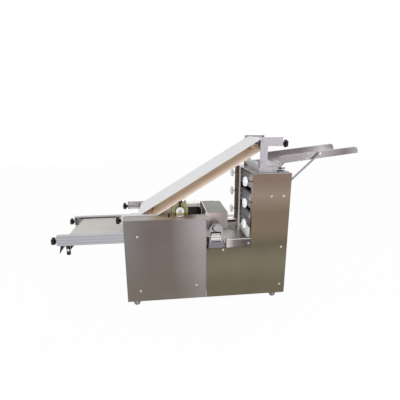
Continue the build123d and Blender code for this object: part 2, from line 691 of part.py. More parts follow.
def fixed_roll(z):
    y1 = -GEAR_Y
    body = roll(FIXED_ROLL_X, z, y1 - GEAR_WIDTH, CHAIN_NEAR_Y + SPROCKET_WIDTH)
    teeth = gear(FIXED_ROLL_X, z, GEAR_TEETH, PITCH_R, y1 - GEAR_WIDTH, y1, ROLL_SHAFT_R, 180.0 / GEAR_TEETH)
    sprocket = slab(spot(FIXED_ROLL_X, z, SPROCKET_R) - spot(FIXED_ROLL_X, z, ROLL_SHAFT_R),
                    CHAIN_NEAR_Y, CHAIN_NEAR_Y + SPROCKET_WIDTH)
    return body, teeth, sprocket


def gap_roll(z):
    y1 = -GEAR_Y
    body = roll(GAP_ROLL_X, z, y1 - GEAR_WIDTH, PLATE_OUT)
    return body, gear(GAP_ROLL_X, z, GEAR_TEETH, PITCH_R, y1 - GEAR_WIDTH, y1, ROLL_SHAFT_R, 0.0)


# Gap blocks slide in the windows of the side plates and carry the gap roll's scraper
def gap_blocks(z):
    profile = area(GAP_ROLL_X - BLOCK_LENGTH / 2, GAP_ROLL_X + BLOCK_LENGTH / 2,
                   z - BLOCK_HEIGHT / 2, z + BLOCK_HEIGHT / 2)
    block = slab(profile - spot(GAP_ROLL_X, z, ROLL_SHAFT_R + FIT), PLATE_IN - BLOCK_PROUD, PLATE_OUT)
    left = GAP_ROLL_X - BLOCK_LENGTH / 2
    block -= rod_x((PLATE_IN + PLATE_OUT) / 2, z, SCREW_R + FIT, left - 1, left + BLOCK_BORE)
    reach = PLATE_IN - BLOCK_PROUD
    angle = radians(235)
    reach_r = ROLL_R + BLADE_GAP
    edge = (GAP_ROLL_X + reach_r * cos(angle), z + reach_r * sin(angle))
    low = z - BLADE_DROP
    blade = outline(edge, (edge[0] - 4, edge[1] + 3), (left - 8, low + 4), (left - 4, low))
    bar = slab(blade, -(ROLL_FACE / 2 - 4), ROLL_FACE / 2 - 4)
    bar += box(left - 10, left + 4, -reach + 6, reach - 6, low - BLADE_BAR / 2, low + BLADE_BAR / 2)
    arm = box(left - 10, left + 4, reach - 6, reach, low - BLADE_BAR / 2, z + 10)
    near, far = both_sides(block + arm)
    return near + bar + far


def hand_wheel(y, z):
    """Knurled wheel and screw that set the gap."""
    left = TOWER_X - SCREW_REACH - HAND_WHEEL_HUB - HAND_WHEEL_RIM
    rim = Circle(HAND_WHEEL_R)
    for i in range(12):
        rim -= Rot(0, 0, 30 * i) * Pos(HAND_WHEEL_R + 2.5, 0) * Circle(5)
    plane = Plane(origin=(left, y, z), x_dir=(0, 1, 0), z_dir=(1, 0, 0))
    wheel = extrude(plane * rim, amount=HAND_WHEEL_RIM)
    hub = left + HAND_WHEEL_RIM
    wheel += rod_x(y, z, 12, hub, hub + HAND_WHEEL_HUB)
    return wheel + rod_x(y, z, SCREW_R, hub, GAP_ROLL_X - BLOCK_LENGTH / 2 + 6)


# Scraper blades below the fixed rolls, and the belt scrapers hung below the outlet rails
def scraper_blades():
    found = []
    for z in ROLL_Z:
        angle = radians(305)
        reach_r = ROLL_R + BLADE_GAP
        edge = (FIXED_ROLL_X + reach_r * cos(angle), z + reach_r * sin(angle))
        low = z - BLADE_DROP
        right = FIXED_ROLL_X + BLOCK_LENGTH / 2
        blade = outline(edge, (edge[0] + 4, edge[1] + 3), (right + 8, low + 4), (right + 4, low))
        bar = slab(blade, -(ROLL_FACE / 2 - 4), ROLL_FACE / 2 - 4)
        rest = box(right - 4, right + 12, -PLATE_IN, PLATE_IN, low - BLADE_BAR / 2, low + BLADE_BAR / 2)
        found.append(bar + rest)
    half = OUTLET_BELT_WIDTH / 2 - 2
    base = OUTLET_AXIS_Z - BELT_OUT_R - 1.0
    front = outline((NOSE_X - 76, base - 2), (NOSE_X - 41, base - 2), (NOSE_X - 94, base - 80))
    rear = outline((NOSE_X - 12, base - 2), (NOSE_X + 24, base - 2), (NOSE_X - 12, base - 51))
    hanger = area(NOSE_X - 38, NOSE_X - 13, base - 84, RAIL_BOTTOM) - spot(NOSE_X - 26, base - 46, 7)
    hanger += area(NOSE_X - 80, NOSE_X + 24, base - 14, base - 4)
    scraper = slab(front, -half, half) + slab(rear, -half, half)
    hanging = slab(hanger, half, RAIL_IN + 6)
    near, far = both_sides(hanging)
    found.append(scraper + near + far)
    return found


# Cutter with oval cutting rings, its gear, and the belt's drive roller with its pinion
CENTRES = CUTTER_AXIS_Z - OUTLET_AXIS_Z
PINION_R = CENTRES * PINION_TEETH / (PINION_TEETH + CUTTER_GEAR_TEETH)
CUTTER_GEAR_R = CENTRES - PINION_R


def cutter_roll():
    rings_half = CUTTER_RING_PITCH * (CUTTER_RINGS_ACROSS - 1) / 2 + CUTTER_RING_HALF_Y
    core = rod_y(CUTTER_X, CUTTER_AXIS_Z, CUTTER_CORE_R, -rings_half - 6, rings_half + 6)
    shell = rod_y(CUTTER_X, CUTTER_AXIS_Z, CUTTER_R, -rings_half - 2, rings_half + 2)
    shell -= rod_y(CUTTER_X, CUTTER_AXIS_Z, CUTTER_CORE_R - 1, -rings_half - 2, rings_half + 2)
    ring = Ellipse(CUTTER_RING_HALF_X, CUTTER_RING_HALF_Y)
    ring -= Ellipse(CUTTER_RING_HALF_X - CUTTER_EDGE, CUTTER_RING_HALF_Y - CUTTER_EDGE)
    for i in range(CUTTER_RINGS_ACROSS):
        y = (i - (CUTTER_RINGS_ACROSS - 1) / 2) * CUTTER_RING_PITCH
        tube = extrude(Plane(origin=(CUTTER_X, y, CUTTER_AXIS_Z - CUTTER_R)) * ring, amount=2 * CUTTER_R)
        core += shell & tube
    shaft = rod_y(CUTTER_X, CUTTER_AXIS_Z, CUTTER_SHAFT_R, -STAND_OUT + 2, STAND_OUT - 2)
    wheel = gear(CUTTER_X, CUTTER_AXIS_Z, CUTTER_GEAR_TEETH, CUTTER_GEAR_R, -GEAR_Y - 8, -GEAR_Y,
                 CUTTER_SHAFT_R, 90.0 + 180.0 / CUTTER_GEAR_TEETH)
    return core + shaft, wheel


def belt_drive_roller():
    half = OUTLET_BELT_WIDTH / 2 - 2
    roller = rod_y(CUTTER_X, OUTLET_AXIS_Z, ROLLER_R, -half, half)
    end = STAND_OUT - STAND_SKIN - 1.0
    roller += rod_y(CUTTER_X, OUTLET_AXIS_Z, CUTTER_SHAFT_R, -end, end)
    pinion = gear(CUTTER_X, OUTLET_AXIS_Z, PINION_TEETH, PINION_R, -GEAR_Y - 8, -GEAR_Y, CUTTER_SHAFT_R, 90.0)
    sprocket = slab(spot(CUTTER_X, OUTLET_AXIS_Z, SPROCKET_R) - spot(CUTTER_X, OUTLET_AXIS_Z, CUTTER_SHAFT_R),
                    CHAIN_NEAR_Y, CHAIN_NEAR_Y + SPROCKET_WIDTH)
    return roller, pinion, sprocket


# Cutter stands: a rounded bearing housing with a sickle-shaped hole round the cutter's bearing,
# ribs over the blind bearing of the drive roller, a spread foot and a tail bolted to the side plate
def cutter_stand():
    half = STAND_LENGTH / 2
    tail = NOTCH_TOP - STAND_FOOT
    profile = area(CUTTER_X - half, CUTTER_X + half, tail, STAND_CROWN) + spot(CUTTER_X, STAND_CROWN, half)
    profile += outline((CUTTER_X - 57, NOTCH_TOP + 4), (CUTTER_X + 73, NOTCH_TOP + 4),
                       (CUTTER_X + 58, NOTCH_TOP + 44), (CUTTER_X - 52, NOTCH_TOP + 44))
    profile -= spot(CUTTER_X - 4, CUTTER_AXIS_Z, 28) - spot(CUTTER_X + 3, CUTTER_AXIS_Z, 25)
    profile -= spot(CUTTER_X, CUTTER_AXIS_Z, CUTTER_SHAFT_R + FIT)
    slot = (CUTTER_X - STAND_SLOT, CUTTER_X + STAND_SLOT)
    for low, high in ((15, 27), (-52, -43)):
        profile -= area(*slot, OUTLET_AXIS_Z + low, OUTLET_AXIS_Z + high)
    stand = slab(profile, STAND_IN, STAND_OUT)
    for low, high in ((-4, 3), (-17, -14)):
        stand -= box(*slot, STAND_OUT - STAND_SKIN / 2, STAND_OUT + 1,
                     OUTLET_AXIS_Z + low, OUTLET_AXIS_Z + high)
    stand -= rod_y(CUTTER_X, OUTLET_AXIS_Z, CUTTER_SHAFT_R + FIT, STAND_IN - 1, STAND_OUT - STAND_SKIN)
    for side in (-1, 1):
        lug = sorted((CUTTER_X + side * half, CUTTER_X + side * (half - STAND_LUG)))
        stand += box(*lug, PLATE_OUT, STAND_OUT, tail, NOTCH_TOP - 14)
    return stand


# Hood: a folded cover, open below, with slots over the shafts
def hood():
    right = HOOD_LEFT + HOOD_LENGTH
    half = HOOD_WIDTH / 2
    cover = box(HOOD_LEFT, right, -half, half, HOOD_BOTTOM, HOOD_TOP)
    cover -= box(HOOD_LEFT + SHEET, right - SHEET, -half + SHEET, half - SHEET,
                 HOOD_BOTTOM - 1, HOOD_TOP - SHEET)
    slot = area(CUTTER_X - CUTTER_SHAFT_R - 2, CUTTER_X + CUTTER_SHAFT_R + 2, HOOD_BOTTOM - 1, CUTTER_AXIS_Z)
    slot += spot(CUTTER_X, CUTTER_AXIS_Z, CUTTER_SHAFT_R + 2)
    cover -= slab(slot, -half - 1, half + 1)
    rest = CABINET_TOP - PLATE_DROP
    for side in (-1, 1):
        ear = sorted((side * (half - SHEET), side * (HALF - LIP_DEPTH - 1)))
        cover += box(SEAM_X - HOOD_EAR, HOOD_LEFT + SHEET, *ear, rest, rest + SHEET)
    return cover


# Catch tray: floor between two folded aprons, and a ramp below the last pair of rolls
def catch_tray():
    right = TOWER_X - 1.0
    floor = TRAY_FLOOR
    apron_in = PANEL_IN - APRON_DEPTH
    tray = box(TRAY_LEFT, right, -apron_in, apron_in, floor - SHEET, floor)
    for side in (-1, 1):
        outer = sorted((side * (PANEL_IN - SHEET), side * PANEL_IN))
        top = sorted((side * (apron_in - SHEET), side * PANEL_IN))
        inner = sorted((side * (apron_in - SHEET), side * apron_in))
        tray += box(TRAY_LEFT, right, *outer, NOTCH_TOP, APRON_TOP)
        tray += box(TRAY_LEFT, right, *top, APRON_TOP - SHEET, APRON_TOP)
        tray += box(TRAY_LEFT, right, *inner, floor - SHEET, APRON_TOP)
    ramp = outline((right - 2, floor - SHEET), (right + 18, floor - SHEET), (RAMP_TOP_X, RAMP_TOP_Z - SHEET),
                   (RAMP_TOP_X, RAMP_TOP_Z), (right + 17, floor), (right - 2, floor))
    return tray + slab(ramp, -(PLATE_IN - 1), PLATE_IN - 1)


# Hopper plates that lead dough and trim into the top pair of rolls
def hopper():
    base = TOWER_TOP
    slope = (TROUGH_OUTER_Z - TROUGH_INNER_Z) / (TROUGH_OUTER_X - TROUGH_INNER_X)
    low_left, low_right = NIP_X - HOPPER_MOUTH / 2, NIP_X + HOPPER_MOUTH / 2
    left = outline((low_left, base), (low_left + 3, base), (TOWER_X + 21, base + HOPPER_HEIGHT),
                   (TOWER_X + 18, base + HOPPER_HEIGHT))
    right = outline((low_right - 3, base), (low_right, base),
                    (TROUGH_INNER_X + 4, TROUGH_INNER_Z + 4 * slope), (TROUGH_INNER_X, TROUGH_INNER_Z))
    half = PLATE_IN - 2.0
    cheek = outline((low_left, base), (low_right, base), (TROUGH_INNER_X, TROUGH_INNER_Z - 4),
                    (NIP_X, base + 44), (TOWER_X + 20, base + HOPPER_HEIGHT))
    deck_half = PLATE_IN + 6.0
    deck = box(low_right - 3, RIGHT_X - PLATE_SETBACK, -deck_half, deck_half, base, base + 3)
    deck += box(TOWER_X, low_left + 3, -deck_half, deck_half, base, base + 3)
    funnel = slab(left, -half, half) + slab(right, -half, half) + deck
    for side in (-1, 1):
        funnel += slab(cheek, *sorted((side * half, side * (half - SHEET))))
    return funnel


# Trough: tapered U of sheet with rounded outer corners, and its two brace rods
def trough():
    length = hypot(TROUGH_OUTER_X - TROUGH_INNER_X, TROUGH_OUTER_Z - TROUGH_INNER_Z)
    along = ((TROUGH_OUTER_X - TROUGH_INNER_X) / length, (TROUGH_OUTER_Z - TROUGH_INNER_Z) / length)

    def point(distance, rise):
        return (TROUGH_INNER_X + along[0] * distance - along[1] * rise,
                TROUGH_INNER_Z + along[1] * distance + along[0] * rise)

    floor = outline(point(0, 0), point(length, 0), point(length, SHEET), point(0, SHEET))
    wall = outline(point(0, 0), point(length, 0),
                   point(length, TROUGH_WALL_OUTER), point(0, TROUGH_WALL_INNER))
    far_corner = max(wall.vertices(), key=lambda v: v.X + v.Y)
    wall = fillet([far_corner], TROUGH_CORNER)
    half = TROUGH_WIDTH / 2
    tray = slab(floor, -half, half)
    for side in (-1, 1):
        tray += slab(wall, *sorted((side * half, side * (half - SHEET))))
    return tray, point


def brace(y, top_z):
    """Rod with flattened ends from the trough's wall down to the tower."""
    low_x = RIGHT_X + 10.0
    run = hypot(BRACE_TOP_X - low_x, top_z - BRACE_LOW_Z)
    tilt = degrees(atan2(BRACE_TOP_X - low_x, top_z - BRACE_LOW_Z))
    middle = ((BRACE_TOP_X + low_x) / 2, y, (top_z + BRACE_LOW_Z) / 2)
    rod = Pos(*middle) * Rot(0, tilt, 0) * Cylinder(BRACE_R, run)
    rod += box(RIGHT_X - SHEET, low_x + 8, y - BRACE_R, y + BRACE_R, BRACE_LOW_Z - 14, BRACE_LOW_Z + 14)
    inner = TROUGH_WIDTH / 2
    ends = sorted((inner if y > 0 else -inner, y))
    return rod + rod_y(BRACE_TOP_X, top_z, BRACE_R + 2, *ends)


# Gear motor on a base plate, its shaft and the jack shaft below the cutter
def gear_motor():
    half = GEARBOX / 2
    left = MOTOR_X
    base = FRAME_TOP + MOTOR_PLATE
    across = PLATE_IN - MOTOR_PLATE_ROOM
    plate = box(left, RIGHT_X - MOTOR_PLATE_ROOM, -across, across, FRAME_TOP, base)
    case = box(FIXED_ROLL_X - half, FIXED_ROLL_X + half, -half, half, base, DRIVE_Z + half)
    case -= rod_y(FIXED_ROLL_X, DRIVE_Z, DRIVE_SHAFT_R + FIT, -half - 1, half + 1)
    motor = rod_x(0, DRIVE_Z, MOTOR_R, left, FIXED_ROLL_X - half)
    foot_left, foot_half = left + MOTOR_FOOT_INSET, MOTOR_FOOT[1] / 2
    motor += box(foot_left, foot_left + MOTOR_FOOT[0], -foot_half, foot_half, base, DRIVE_Z)
    top, lid_half = DRIVE_Z + MOTOR_R, TERMINAL_BOX[1] / 2
    lid_left = foot_left + (MOTOR_FOOT[0] - TERMINAL_BOX[0]) / 2
    motor += box(lid_left, lid_left + TERMINAL_BOX[0], -lid_half, lid_half,
                 top - MOTOR_R / 6, top + TERMINAL_RISE)
    return plate, case, motor


def drive_shaft():
    shaft = rod_y(FIXED_ROLL_X, DRIVE_Z, DRIVE_SHAFT_R, -PLATE_OUT, CHAIN_FAR_Y + SPROCKET_WIDTH)
    shaft += rod_y(FIXED_ROLL_X, DRIVE_Z, SPROCKET_R, CHAIN_NEAR_Y, CHAIN_NEAR_Y + SPROCKET_WIDTH)
    return shaft + rod_y(FIXED_ROLL_X, DRIVE_Z, SPROCKET_R, CHAIN_FAR_Y, CHAIN_FAR_Y + SPROCKET_WIDTH)


def jack_shaft():
    shaft = rod_y(CUTTER_X, DRIVE_Z, DRIVE_SHAFT_R, -PLATE_OUT, CHAIN_FAR_Y + SPROCKET_WIDTH)
    shaft += rod_y(CUTTER_X, DRIVE_Z, SPROCKET_R, CHAIN_NEAR_Y, CHAIN_NEAR_Y + SPROCKET_WIDTH)
    return shaft + rod_y(CUTTER_X, DRIVE_Z, SPROCKET_R, CHAIN_FAR_Y, CHAIN_FAR_Y + SPROCKET_WIDTH)


def drive_chains():
    inner = SPROCKET_R + CHAIN_GAP
    near_plane = (CHAIN_NEAR_Y, CHAIN_NEAR_Y + SPROCKET_WIDTH)
    far_plane = (CHAIN_FAR_Y, CHAIN_FAR_Y + SPROCKET_WIDTH)
    tower = loop(FIXED_ROLL_X, DRIVE_Z, FIXED_ROLL_X, ROLL_Z[0], inner, CHAIN, *near_plane)
    cross = loop(CUTTER_X, DRIVE_Z, FIXED_ROLL_X, DRIVE_Z, inner, CHAIN, *far_plane)
    belt = loop(CUTTER_X, DRIVE_Z, CUTTER_X, OUTLET_AXIS_Z, inner, CHAIN, *near_plane)
    return tower, cross, belt


# Control box with a stop button and a cable gland on the end of the tower
def control_box():
    left = RIGHT_X - SHEET
    case = box(left, left + BOX_DEPTH, -BOX_WIDTH / 2, BOX_WIDTH / 2, BOX_Z, BOX_Z + BOX_HEIGHT)
    case -= rod_x(0, BOX_Z + BOX_HEIGHT / 2, BUTTON_STEM_R + FIT, left + 20, left + BOX_DEPTH + 1)
    middle = left + BOX_DEPTH / 2
    gland = rod_z(middle, 0, GLAND_R, BOX_Z - GLAND_LENGTH, BOX_Z)
    return case, gland - rod_z(middle, 0, GLAND_BORE_R, BOX_Z - GLAND_LENGTH - 1, BOX_Z + 1)


def stop_button():
    face = RIGHT_X - SHEET + BOX_DEPTH
    z = BOX_Z + BOX_HEIGHT / 2
    cap = face + BUTTON_TRAVEL + 1.0
    return rod_x(0, z, BUTTON_STEM_R, face - 30, cap) + rod_x(0, z, BUTTON_R, cap, cap + BUTTON_CAP)


# Static pieces
save("side_plates", *both_sides(side_plate()))
save("cabinet_panels", far_cabinet_panel(), mirror(cabinet_panel(), about=Plane.XZ))
save("tower_panels", *both_sides(tower_panel()))
save("end_panels", *end_panels())
save("base_frame", base_frame())
save("tie_bars", *tie_bars())
save("outlet_rails", *both_sides(outlet_rail()))
save("slider_beds", *slider_beds())
outlet_half = OUTLET_BELT_WIDTH / 2
save("outlet_belt", loop(NOSE_X, OUTLET_AXIS_Z, CUTTER_X, OUTLET_AXIS_Z, BELT_IN_R, BELT,
                         -outlet_half, outlet_half))
return_half = RETURN_BELT_WIDTH / 2
save("return_belt", loop(RETURN_LOW_X, RETURN_LOW_Z, RETURN_HEAD_X, RETURN_HEAD_Z, RETURN_IN_R, BELT,
                         -return_half, return_half))
save("foot_brackets", *both_sides(foot_bracket()))
save("head_brackets", *both_sides(head_bracket()))
save("infeed_hopper", hopper())
chute, chute_point = trough()
brace_z = chute_point(BRACE_STATION, 0)[1] + BRACE_RISE
brace_y = TROUGH_WIDTH / 2 + 14
save("infeed_trough", chute, brace(brace_y, brace_z), brace(-brace_y, brace_z))
save("catch_tray", catch_tray())
save("cutter_stands", *both_sides(cutter_stand()))
save("roll_bearings", *bearings())
save("scraper_blades", *scraper_blades())
save("gear_motor", *gear_motor())
save("drive_chains", *drive_chains())
save("control_box", *control_box())

# Moving pieces
LEVELS = ("upper", "middle", "lower")
plate_middle = (PLATE_IN + PLATE_OUT) / 2
for level, roll_z in zip(LEVELS, ROLL_Z):
    save(f"{level}_fixed_roll", *fixed_roll(roll_z))
    save(f"{level}_gap_roll", *gap_roll(roll_z))
    save(f"{level}_gap_blocks", gap_blocks(roll_z))
    save(f"{level}_near_hand_wheel", hand_wheel(-plate_middle, roll_z))
    save(f"{level}_far_hand_wheel", hand_wheel(plate_middle, roll_z))
save("drive_shaft", drive_shaft())
save("jack_shaft", jack_shaft())
save("cutter_roll", *cutter_roll())
save("belt_drive_roller", *belt_drive_roller())
save("lagged_roller", lagged_roller())
save("hood", hood())

rail_middle = (RAIL_IN + RAIL_OUT - RAIL_WALL) / 2
foot_middle = (FOOT_IN + FOOT_OUT - CHANNEL_WALL) / 2
head_middle = (HEAD_IN + HEAD_OUT - CHANNEL_WALL) / 2
TAKEUPS = {
    "outlet": (-RAIL_REACH, NOSE_X, OUTLET_AXIS_Z, -1, 2 * (OUTLET_AXIS_Z - RAIL_BOTTOM - RAIL_WALL - GAP),
               RAIL_IN + 1, RAIL_OUT - RAIL_WALL - GAP, rail_middle, ROLLER_R, OUTLET_BELT_WIDTH - 4),
    "foot": (FOOT_LEFT, RETURN_LOW_X, RETURN_LOW_Z, -1, 2 * (FOOT_DROP - CHANNEL_WALL - GAP),
             FOOT_IN + 1, FOOT_OUT - CHANNEL_WALL - GAP, foot_middle, RETURN_ROLLER_R, RETURN_BELT_WIDTH - 4),
    "head": (HEAD_LEFT + HEAD_ARM, RETURN_HEAD_X, RETURN_HEAD_Z, 1,
             2 * (HEAD_ARM_HEIGHT - RETURN_HEAD_DROP - CHANNEL_WALL - GAP),
             HEAD_IN + 1, HEAD_OUT - CHANNEL_WALL - GAP, head_middle, RETURN_ROLLER_R, RETURN_BELT_WIDTH - 4),
}
for place, (cap_x, axle_x, axle_z, towards, height, y0, y1, screw_y, radius, face) in TAKEUPS.items():
    save(f"{place}_takeup_axle", takeup_axle(axle_x, axle_z, towards, height, y0, y1, screw_y))
    save(f"{place}_roller", idler(axle_x, axle_z, radius, face))
    save(f"{place}_near_knob", takeup_knob(cap_x, axle_x, -screw_y, axle_z, towards))
    save(f"{place}_far_knob", takeup_knob(cap_x, axle_x, screw_y, axle_z, towards))

for side, y in (("near", -CASTOR_Y), ("far", CASTOR_Y)):
    save(f"{side}_swivel_fork", swivel_fork(y))
    save(f"{side}_castor_wheel", castor_wheel(CASTOR_X[0] - CASTOR_TRAIL, y))
half_tread = WHEEL_WIDTH / 2
axle_reach = CASTOR_Y + half_tread + 2 + FORK_WALL
wheel_pair = rod_y(FIXED_WHEEL_X, WHEEL_R, AXLE_R, -axle_reach, axle_reach)
for y in (-CASTOR_Y, CASTOR_Y):
    wheel_pair += slab(spot(FIXED_WHEEL_X, WHEEL_R, WHEEL_R), y - half_tread, y + half_tread)
save("tower_wheel_pair", wheel_pair)
save("stop_button", stop_button())
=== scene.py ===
import json
from math import asin, atan2, cos, pi, radians, sin, sqrt

import bmesh
import bpy
from bpy.props import FloatProperty, FloatVectorProperty, IntProperty, PointerProperty
from bpy.types import Operator, Panel, PropertyGroup
from mathutils import Matrix, Vector


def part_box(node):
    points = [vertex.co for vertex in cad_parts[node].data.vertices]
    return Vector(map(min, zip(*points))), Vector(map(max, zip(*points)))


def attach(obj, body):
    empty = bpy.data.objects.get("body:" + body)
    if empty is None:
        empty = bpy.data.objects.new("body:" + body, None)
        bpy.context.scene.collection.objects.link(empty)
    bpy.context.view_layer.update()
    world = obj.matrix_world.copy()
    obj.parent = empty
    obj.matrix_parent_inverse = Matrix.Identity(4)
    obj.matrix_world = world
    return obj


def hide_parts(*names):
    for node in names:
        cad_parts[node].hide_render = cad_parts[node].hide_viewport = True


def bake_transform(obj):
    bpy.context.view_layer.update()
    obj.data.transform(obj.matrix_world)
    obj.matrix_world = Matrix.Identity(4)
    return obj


bl_info = {
    "name": "Dough Sheeter Looks",
    "version": (1, 0, 0),
    "blender": (4, 5, 0),
    "location": "3D View > Sidebar > Sheeter",
    "description": "Belts, knobs, wheels, fasteners and finishes of a dough sheeting machine",
    "category": "Object",
}

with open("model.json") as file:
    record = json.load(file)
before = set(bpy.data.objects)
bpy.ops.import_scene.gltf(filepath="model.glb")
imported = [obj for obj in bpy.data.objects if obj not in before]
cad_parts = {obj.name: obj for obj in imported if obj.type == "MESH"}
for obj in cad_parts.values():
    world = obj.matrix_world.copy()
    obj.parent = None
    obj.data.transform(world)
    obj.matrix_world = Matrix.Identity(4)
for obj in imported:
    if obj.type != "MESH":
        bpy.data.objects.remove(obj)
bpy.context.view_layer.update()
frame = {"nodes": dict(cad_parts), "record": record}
NODES = frame["nodes"]
JOINTS = {joint["name"]: joint for joint in frame["record"]["behaviour"]["joints"]}
NEAR, FAR = -1, 1
SIDES = (NEAR, FAR)
X_AXIS, Y_AXIS, Z_AXIS = (1, 0, 0), (0, 1, 0), (0, 0, 1)
SHARP_ANGLE = radians(32)


def linear(red, green, blue):
    """A screen colour, 0 to 255, as the linear colour that shaders use."""
    parts = [c / 255 for c in (red, green, blue)]
    return tuple(c / 12.92 if c <= 0.04045 else ((c + 0.055) / 1.055) ** 2.4 for c in parts)


# Colours that more than one finish uses
# White that is painted light, for faces in shade that are made to read pale
PAINTED_WHITE = linear(246, 245, 243)
MOTOR_GREY = linear(96, 104, 112)

# How the brushed lines of a finish run: a small number along the lines, large ones across them
LENGTHWISE = (8, 260, 260)
CROSSWISE = (300, 8, 300)
UPRIGHT = (220, 260, 5)
SCREW_LINES = (60, 300, 300)
EVEN = (200, 200, 200)


def spot(x, y, z):
    """A place counted in millimetres from the cabinet's left end, as metres in the row frame."""
    return Vector((x / 1000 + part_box("cabinet_panels")[0].x, y / 1000, z / 1000))


def pivot(name):
    """Where a joint turns."""
    return Vector(JOINTS[name]["pos_m"])


# Settings


def shade(title, rgb, words):
    """A colour setting, given as a screen colour."""
    return FloatVectorProperty(name=title, description=words, subtype="COLOR", size=3, min=0, max=1,
                               default=linear(*rgb))


def length(title, value, words):
    """A length setting, in metres."""
    return FloatProperty(name=title, description=words, subtype="DISTANCE", unit="LENGTH", min=0,
                         default=value)


def divisions(title, value, words):
    """A setting for how finely a curve is divided."""
    return IntProperty(name=title, description=words, default=value, min=8)


class SheeterColours(PropertyGroup):
    """Colours of the machine's finishes."""

    # The cabinet colours are painted reflections and shade along and up the panels
    cabinet_left: shade("Cabinet left", (136, 131, 132), "Cabinet panels at the outlet end")
    cabinet_middle: shade("Cabinet middle", (123, 113, 110), "Darkest part of the cabinet panels")
    cabinet_seam: shade("Cabinet seam", (174, 168, 170), "Cabinet panels next to the seam")
    cabinet_foot: shade("Cabinet foot", (125, 117, 108), "Lower part of the cabinet panels")
    cabinet_foot_seam: shade("Cabinet foot seam", (144, 138, 135), "Lower part next to the seam")
    # The lip colours are painted reflections of the belt, the lagged roller and the white bearing, and a
    # painted glint next to the seam
    lip: shade("Lip", (171, 168, 165), "Sloping lip of the cabinet")
    lip_shade: shade("Lip shade", (152, 142, 127), "Lip at the belt and at the lagged roller")
    lip_mirror: shade("Lip mirror", (247, 242, 238), "Lip in front of the white bearing")
    lip_glint: shade("Lip glint", (218, 212, 206), "Lip next to the seam")
    # Painted light: the far inside of the cabinet is made pale
    inside: shade("Cabinet inside", (250, 249, 247), "Floury inside of the far cabinet panel")
    # The tower colours are bands of painted reflection and shade
    tower_foot: shade("Tower foot", (116, 108, 90), "Foot of the tower panels")
    tower_low: shade("Tower low", (127, 119, 101), "Lower part of the tower panels")
    tower_step: shade("Tower step", (109, 101, 85), "Tower panels at the height of the tray")
    tower_middle: shade("Tower middle", (131, 115, 97), "Middle of the tower panels")
    tower_glow: shade("Tower glow", (153, 137, 125), "Palest band of the tower panels")
    tower_high: shade("Tower high", (137, 119, 108), "Top of the tower panels")
    bracket: shade("Bracket", (190, 186, 192), "Head and foot brackets")
    rail: shade("Rail", (184, 184, 190), "Outlet rails")
    # The tray is painted paler towards the tower, as painted light in the tower's shade
    tray_left: shade("Tray left", (196, 194, 189), "Tray next to the hood")
    tray_right: shade("Tray right", (236, 234, 229), "Tray next to the tower")
    # The hood colours are painted reflection and shade, darker towards the tray
    hood_top: shade("Hood top", (150, 152, 145), "Top of the hood")
    hood_left: shade("Hood left", (204, 188, 185), "Sides of the hood at the cabinet")
    hood_right: shade("Hood right", (158, 148, 146), "Sides of the hood at the tray")
    # The aprons are painted darker towards the tower, as painted shade
    apron_left: shade("Apron left", (210, 205, 200), "Tray aprons next to the stand")
    apron_middle: shade("Apron middle", (134, 129, 127), "Tray aprons in the middle")
    apron_right: shade("Apron right", (98, 92, 90), "Tray aprons next to the tower")
    # The stands' darker feet are painted shade
    stand: shade("Stand", (178, 173, 178), "Cutter stands")
    stand_foot: shade("Stand foot", (134, 130, 136), "Spread feet of the cutter stands")
    # The trough walls carry painted reflections, in dull and bright patches and a painted glint
    trough_outside: shade("Trough outside", (166, 160, 163), "Near wall of the trough")
    trough_bright: shade("Trough bright", (185, 181, 185), "Near wall between the middle and the tower")
    trough_end: shade("Trough end", (127, 116, 120), "Near wall at the outer end")
    trough_inside: shade("Trough inside", (138, 130, 132), "Far wall of the trough")
    trough_glint: shade("Trough glint", (168, 165, 168), "Bright patch of the far wall")
    trough_floor: shade("Trough floor", (208, 206, 207), "Floor of the trough")
    belt_face: shade("Belt face", (224, 224, 226), "Carrying side of the return belt")
    outlet_face: shade("Outlet belt face", (202, 198, 193), "Carrying side of the outlet belt")
    # The belt back is tan; its change from pale at the near edge to dark at the far one is painted light and
    # shade
    belt_far: shade("Belt back far", (186, 157, 122), "Woven back of the belts, far half")
    belt_back: shade("Belt back", (224, 206, 187), "Woven back of the belts, in the middle")
    belt_near: shade("Belt back near", (222, 209, 196), "Woven back of the belts, near edge")
    lagging: shade("Lagging", (158, 153, 92), "Rubber lagging of the drive roller")
    knob: shade("Knob", (12, 12, 13), "Moulded knobs")
    rubber: shade("Rubber", (20, 19, 20), "Flaps and strips of black rubber")
    roll: shade("Roll", (92, 91, 93), "Sheeting rolls")
    # Painted highlight on the rolls' near ends
    roll_painted_highlight: shade("Roll end", (150, 146, 147), "Near ends of the sheeting rolls")
    wheel: shade("Hand wheel", (234, 234, 237), "Enamel of the hand wheels")
    tread: shade("Tread", (112, 112, 114), "Castor treads")
    hub: shade("Castor hub", (206, 206, 205), "Castor hubs")
    brass: shade("Brass", (150, 122, 92), "Screws of the hand wheels")
    stop: shade("Stop button", (190, 24, 22), "Stop button")
    collar: shade("Stop collar", (226, 188, 30), "Disc behind the stop button")


